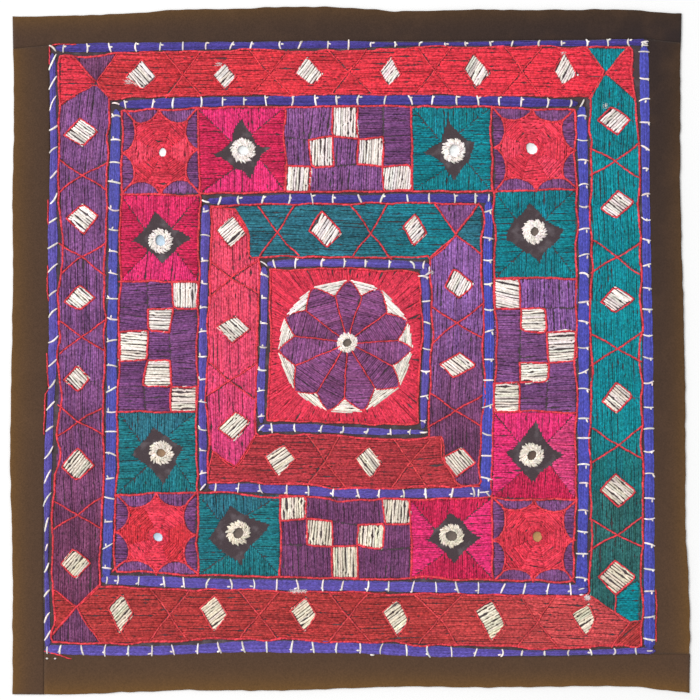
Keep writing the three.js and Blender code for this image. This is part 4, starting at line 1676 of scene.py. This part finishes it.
def sew_petal(petals, leaf, direction):
    """One petal, in a purple of its own, with stitches that run across it."""
    shade = petals.rng.uniform(0.25, 1)
    light, dark = (np.array(COLOURS[name]) for name in ("petal_purple", "dark_purple"))
    tone = tuple(shade * light + (1 - shade) * dark)
    petals.fill([leaf], direction + 90 + petals.rng.uniform(-PETAL_LEAN, PETAL_LEAN), tone)


def sew_rim(ivory, number, edge, centre):
    """The white field in a notch between two petals, closed by a line flatter than the flower's round."""
    after = (number + 1) % len(PETAL_TIPS)
    far = PETAL_TIPS[after] - (0 if after else 360)
    angles = np.linspace(far, PETAL_TIPS[number], RIM_POINTS)
    arc = np.array([polar(centre, FLOWER_RADIUS, angle) for angle in angles])
    chord = np.linspace(arc[0], arc[-1], RIM_POINTS)
    rim = chord + RIM_ROUNDNESS * (arc - chord)
    lean = heading(arc[0] - arc[-1]) + ivory.rng.normal(0, 6)
    ivory.fill([[*edge, *rim[1:-1]]], lean, WHITE_FLOSS, FINE_IVORY, base=FIELD_BASE + RIM_LIFT)


def ray_slits(rng, length):
    """Where a stitch round the flower parts from the next, as for other stitches."""
    scale, least, opening = RAY_SLIT
    marks = rng.uniform(3, length, rng.poisson(RAY_SLITS))
    slits = [(mark, rng.exponential(scale) + least, opening) for mark in marks]
    if rng.random() < WIDE_GAPS:
        slits.append((rng.uniform(0.5, 0.9) * length, *WIDE_SLIT))
    return slits


def add_surround(sewing, centre):
    """Red stitches that run from the flower's round out to the square frame, with a few left out."""
    square = FRAMES["inner"].loop(-CENTRE_MARGIN)
    square = resample(np.concatenate([square, square[:1]]), SURROUND_STEPS + 1)[:-1]
    offsets = square - centre
    angles = np.degrees(np.arctan2(offsets[:, 1], offsets[:, 0]))
    count = int(polyline_length(square) / SATIN.pitch)
    order = np.argsort(angles)
    walked = np.linspace(0, 1, len(square), endpoint=False)
    opened = []
    for number in range(count):
        share = (number + sewing.rng.normal(0, SURROUND_SPREAD)) / count % 1
        angle = np.interp(share, walked, angles[order])
        reach = np.interp(angle, angles[order], np.hypot(*offsets[order].T))
        slits = ray_slits(sewing.rng, reach - SURROUND_START)
        if reach - SURROUND_START > SHORTEST_RAY and sewing.rng.random() > MISSING_RAYS:
            start, end = (polar(centre, radius, angle) for radius in (SURROUND_START, reach))
            sewing.stitch(start, end, "soft_red", LOOSE_SATIN, pushes=parted(opened, slits))
        opened = slits


# Mirrors and the rings that hold them

HOLE_SQUEEZE = 0.12
# A round of a ring's stitches: how many, their slant in degrees, and how ragged their outer ends are
Round = namedtuple("Round", "count slant ragged")
RING_DISC = Round(44, 10, 0.03)
RING_TEETH = Round(30, 16, 0.05)
RING_SLANTED = Round(22, 30, 0.06)
RING_RIM = Round(20, 32, 0.04)
RING_RISE = 0.3


def squeezed(radius, degrees, tilt):
    """The radius of a hole that is a little longer one way than the other."""
    return radius * (1 + HOLE_SQUEEZE * math.cos(2 * math.radians(degrees - tilt)))


def add_ring(name, centre, hole, reach):
    """Close white stitches over a mirror's rim: a disc, its teeth, a slanted round and a rim by the hole."""
    ring = Sewing(name)
    tilt = ring.rng.uniform(0, 180)
    top, ground = MIRROR_TOP + 0.1, FIELD_BASE
    lay_round(ring, centre, tilt, RING_DISC, (hole + 0.8, 0.95 * reach), (top, ground))
    lay_round(ring, centre, tilt, RING_TEETH, (0.7 * reach, 1.0 * reach), (top - 0.2, ground + 0.1))
    lay_round(ring, centre, tilt, RING_SLANTED, (hole + 0.5, 0.8 * reach), (top + 0.3, top))
    lay_round(ring, centre, tilt, RING_RIM, (hole + 0.2, hole + 1.4), (top + 0.7, top + 0.6))
    ring.piece("ivory_thread")


def lay_round(ring, centre, tilt, kind, radii, base):
    """A round of stitches from an inner to an outer radius, with the heights of their two ends."""
    rng = ring.rng
    for number in range(kind.count):
        angle = 360 * (number + rng.normal(0, 0.28)) / kind.count
        first = polar(centre, squeezed(radii[0], angle, tilt) + rng.uniform(0, 0.4), angle)
        reach = radii[1] * varied(rng, kind.ragged, 1 - 2 * kind.ragged, 1 + 2 * kind.ragged)
        last = polar(centre, reach, angle + kind.slant + rng.normal(0, 5))
        ring.stitch(first, last, WHITE_FLOSS, RING, base=base, rise=RING_RISE)


MIRROR_RADIUS = 6.0
MIRROR_PROFILE = ((0.5, 1.0), (0.88, 0.98), (0.97, 0.85), (1.0, 0.5), (1.0, 0.0), (0.6, 0.0))
MIRROR_STEPS = 40
MIRROR_WOBBLE = (0.02, 0.01)
# Painted shade and reflection: the glass is darker towards the upper left, under the shade of the ring's
# rim, and lighter towards the lower right
MIRROR_PAINTED_SHADE = np.array([0.3, -0.3])


def add_mirror(node, centre, tint):
    """A thin round of mirror glass with a worn, bevelled rim."""
    turn = seeded(node).uniform(0, 6)
    angles = np.linspace(0, 2 * math.pi, MIRROR_STEPS, endpoint=False)
    wobble = 1 + MIRROR_WOBBLE[0] * np.sin(3 * angles + turn) + MIRROR_WOBBLE[1] * np.sin(7 * angles)
    rings = []
    for radius, height in MIRROR_PROFILE:
        reach = MIRROR_RADIUS * radius * wobble
        level = MIRROR_BASE + height * (MIRROR_TOP - MIRROR_BASE)
        rings.append(np.column_stack([centre[0] + reach * np.cos(angles), centre[1] + reach * np.sin(angles),
                                      np.full(MIRROR_STEPS, level)]))
    points = np.concatenate([*rings, [(*centre, MIRROR_TOP)], [(*centre, MIRROR_BASE)]])
    index = np.arange(len(rings) * MIRROR_STEPS).reshape(len(rings), MIRROR_STEPS)
    after = np.roll(index, -1, axis=1)
    quads = np.stack([index[:-1], index[1:], after[1:], after[:-1]], axis=-1).reshape(-1, 4)
    crown, foot = len(points) - 2, len(points) - 1
    caps = np.concatenate([
        np.column_stack([index[0], after[0], np.full(MIRROR_STEPS, crown)]),
        np.column_stack([after[-1], index[-1], np.full(MIRROR_STEPS, foot)]),
    ])
    sizes = np.concatenate([np.full(len(quads), 4), np.full(len(caps), 3)])
    mesh = new_mesh(f"{node}_glass", points, np.concatenate([quads.ravel(), caps.ravel()]), sizes)
    # Painted shade and reflection across the glass, laid into its colour
    shade = 1 + (points[:, :2] - centre) @ MIRROR_PAINTED_SHADE / MIRROR_RADIUS
    set_attribute(mesh, "tone", "FLOAT_COLOR", np.outer(shade, linear(MIRROR_TINTS[tint])))
    add_piece(mesh, "mirror", node)


# Loose ends

# Red lines that run outside the outer frame
STRAY_LINES = (
    ((-240.4, 229.0), (-240.6, 242.0), (-236.0, 244.6), (-219.0, 244.8)),
    ((-241.7, 120.0), (-241.3, 101.0)),
    ((-241.7, 67.0), (-241.5, 40.0)),
    ((-242.5, -2.4), (-242.4, -14.4), (-240.9, -30.4), (-243.8, -35.2), (-243.6, -50.0), (-244.9, -67.0)),
    ((-243.6, -240.8), (-234.0, -243.6), (-222.8, -246.6)),
    ((244.4, -192.0), (245.2, -210.0), (244.6, -232.0)),
)
# Fuzzy white tufts: the place, the spread both ways and the height that each lies at
Tuft = namedtuple("Tuft", "place spread level")
TUFTS = (
    Tuft((-177.2, 215.2), (2.4, 1.2), 1.7), Tuft((-105.2, 228.8), (1.6, 1.0), 1.7),
    Tuft((204.4, 196.0), (1.4, 1.4), 1.7), Tuft((190.0, -197.6), (1.4, 1.2), 2.3),
    Tuft((64.4, 62.4), (1.2, 1.0), 1.9), Tuft((171.0, 238.0), (1.4, 0.8), 1.7),
    Tuft((-42.0, -192.4), (4.6, 0.8), 2.5),
)
TUFT_FIBRES = 240


def add_loose_ends():
    strays = Sewing("stray_red_lines")
    for points in STRAY_LINES:
        strays.outline(points, THIN_LINE, wander=0.25, level=STRIP_TOP)
    strays.piece("red_thread")
    ticks = Sewing("white_ticks")
    for start, end in TICKS:
        ticks.stitch(start, end, "white", TIE, base=(TICK_LEVEL, TICK_LEVEL), rise=0.0)
    ticks.piece("ivory_thread")
    tufts = Sewing("white_tufts")
    for tuft in TUFTS:
        for _ in range(TUFT_FIBRES):
            start = tuft.place + np.clip(tufts.rng.normal(0, 0.8, 2), -1.5, 1.5) * tuft.spread
            end = polar(start, tufts.rng.uniform(0.6, 1.3), tufts.rng.uniform(0, 360))
            top = tuft.level + tufts.rng.uniform(0, 0.5)
            tufts.stitch(start, end, "tuft", FIBRE, base=(top, top), rise=0.2)
    tufts.piece("ivory_thread")


# Stage

VIEW_WIDTH = 560.0
SENSOR = 36.0
LENS = 85.0
CAMERA_SHIFT = 0.4

# The floor, the lamp and the light all round, in metres and watts
FLOOR_REACH = 10.0
FLOOR_DROP = 0.0002
KEY_PLACE = (-3.0, 1.2, 3.6)
KEY_SIZE = 2.4
KEY_POWER = 138
AROUND_STRENGTH = 0.62


def add_floor():
    finish = Finish("studio_floor")
    shade = finish.ranged(finish.noise(finish.place(), 3.0, 2.0), 0.97, 1.0)
    colour = finish.add("CombineColor", {channel: shade for channel in range(3)})
    mesh = bpy.data.meshes.new("floor")
    corners = [(*(FLOOR_REACH * sign), 0) for sign in CORNER_SIGN[::-1]]
    mesh.from_pydata(corners, [], [(0, 1, 2, 3)])
    mesh.materials.append(finish.shaded({"Base Color": colour, "Roughness": 0.95}))
    floor = new_object("floor", mesh)
    floor.location.z = -FLOOR_DROP


def add_light(name, place, size, power):
    light = bpy.data.lights.new(name, "AREA")
    light.size = size
    light.energy = power
    lamp = new_object(name, light)
    lamp.location = place
    lamp.rotation_euler = (-lamp.location).to_track_quat("-Z", "Y").to_euler()


def add_camera():
    camera = bpy.data.cameras.new("camera")
    camera.sensor_width = SENSOR
    camera.lens = LENS
    stand = new_object("camera", camera)
    distance = VIEW_WIDTH * LENS / SENSOR
    stand.location = (0, CAMERA_SHIFT * MM, (distance + GROUND_TOP) * MM)
    bpy.context.scene.camera = stand


def add_stage():
    scene = bpy.context.scene
    scene.view_settings.view_transform = "Standard"
    world = bpy.data.worlds.new("studio")
    world.use_nodes = True
    around = world.node_tree.nodes["Background"].inputs
    around["Color"].default_value = (1, 1, 1, 1)
    around["Strength"].default_value = AROUND_STRENGTH
    scene.world = world
    add_light("key", KEY_PLACE, KEY_SIZE, KEY_POWER)
    add_floor()
    add_camera()


def build():
    add_ground()
    add_border()
    for name in FRAMES:
        add_couching(name)
    patches = {thread: Sewing(f"patches_{thread}") for thread in ("purple", "red", "teal", "crimson")}
    add_row("outer", patches)
    add_row("inner", patches)
    add_blocks(patches)
    add_flower()
    for thread, sewing in patches.items():
        sewing.piece(f"{thread}_thread")
    add_loose_ends()


build()
add_stage()
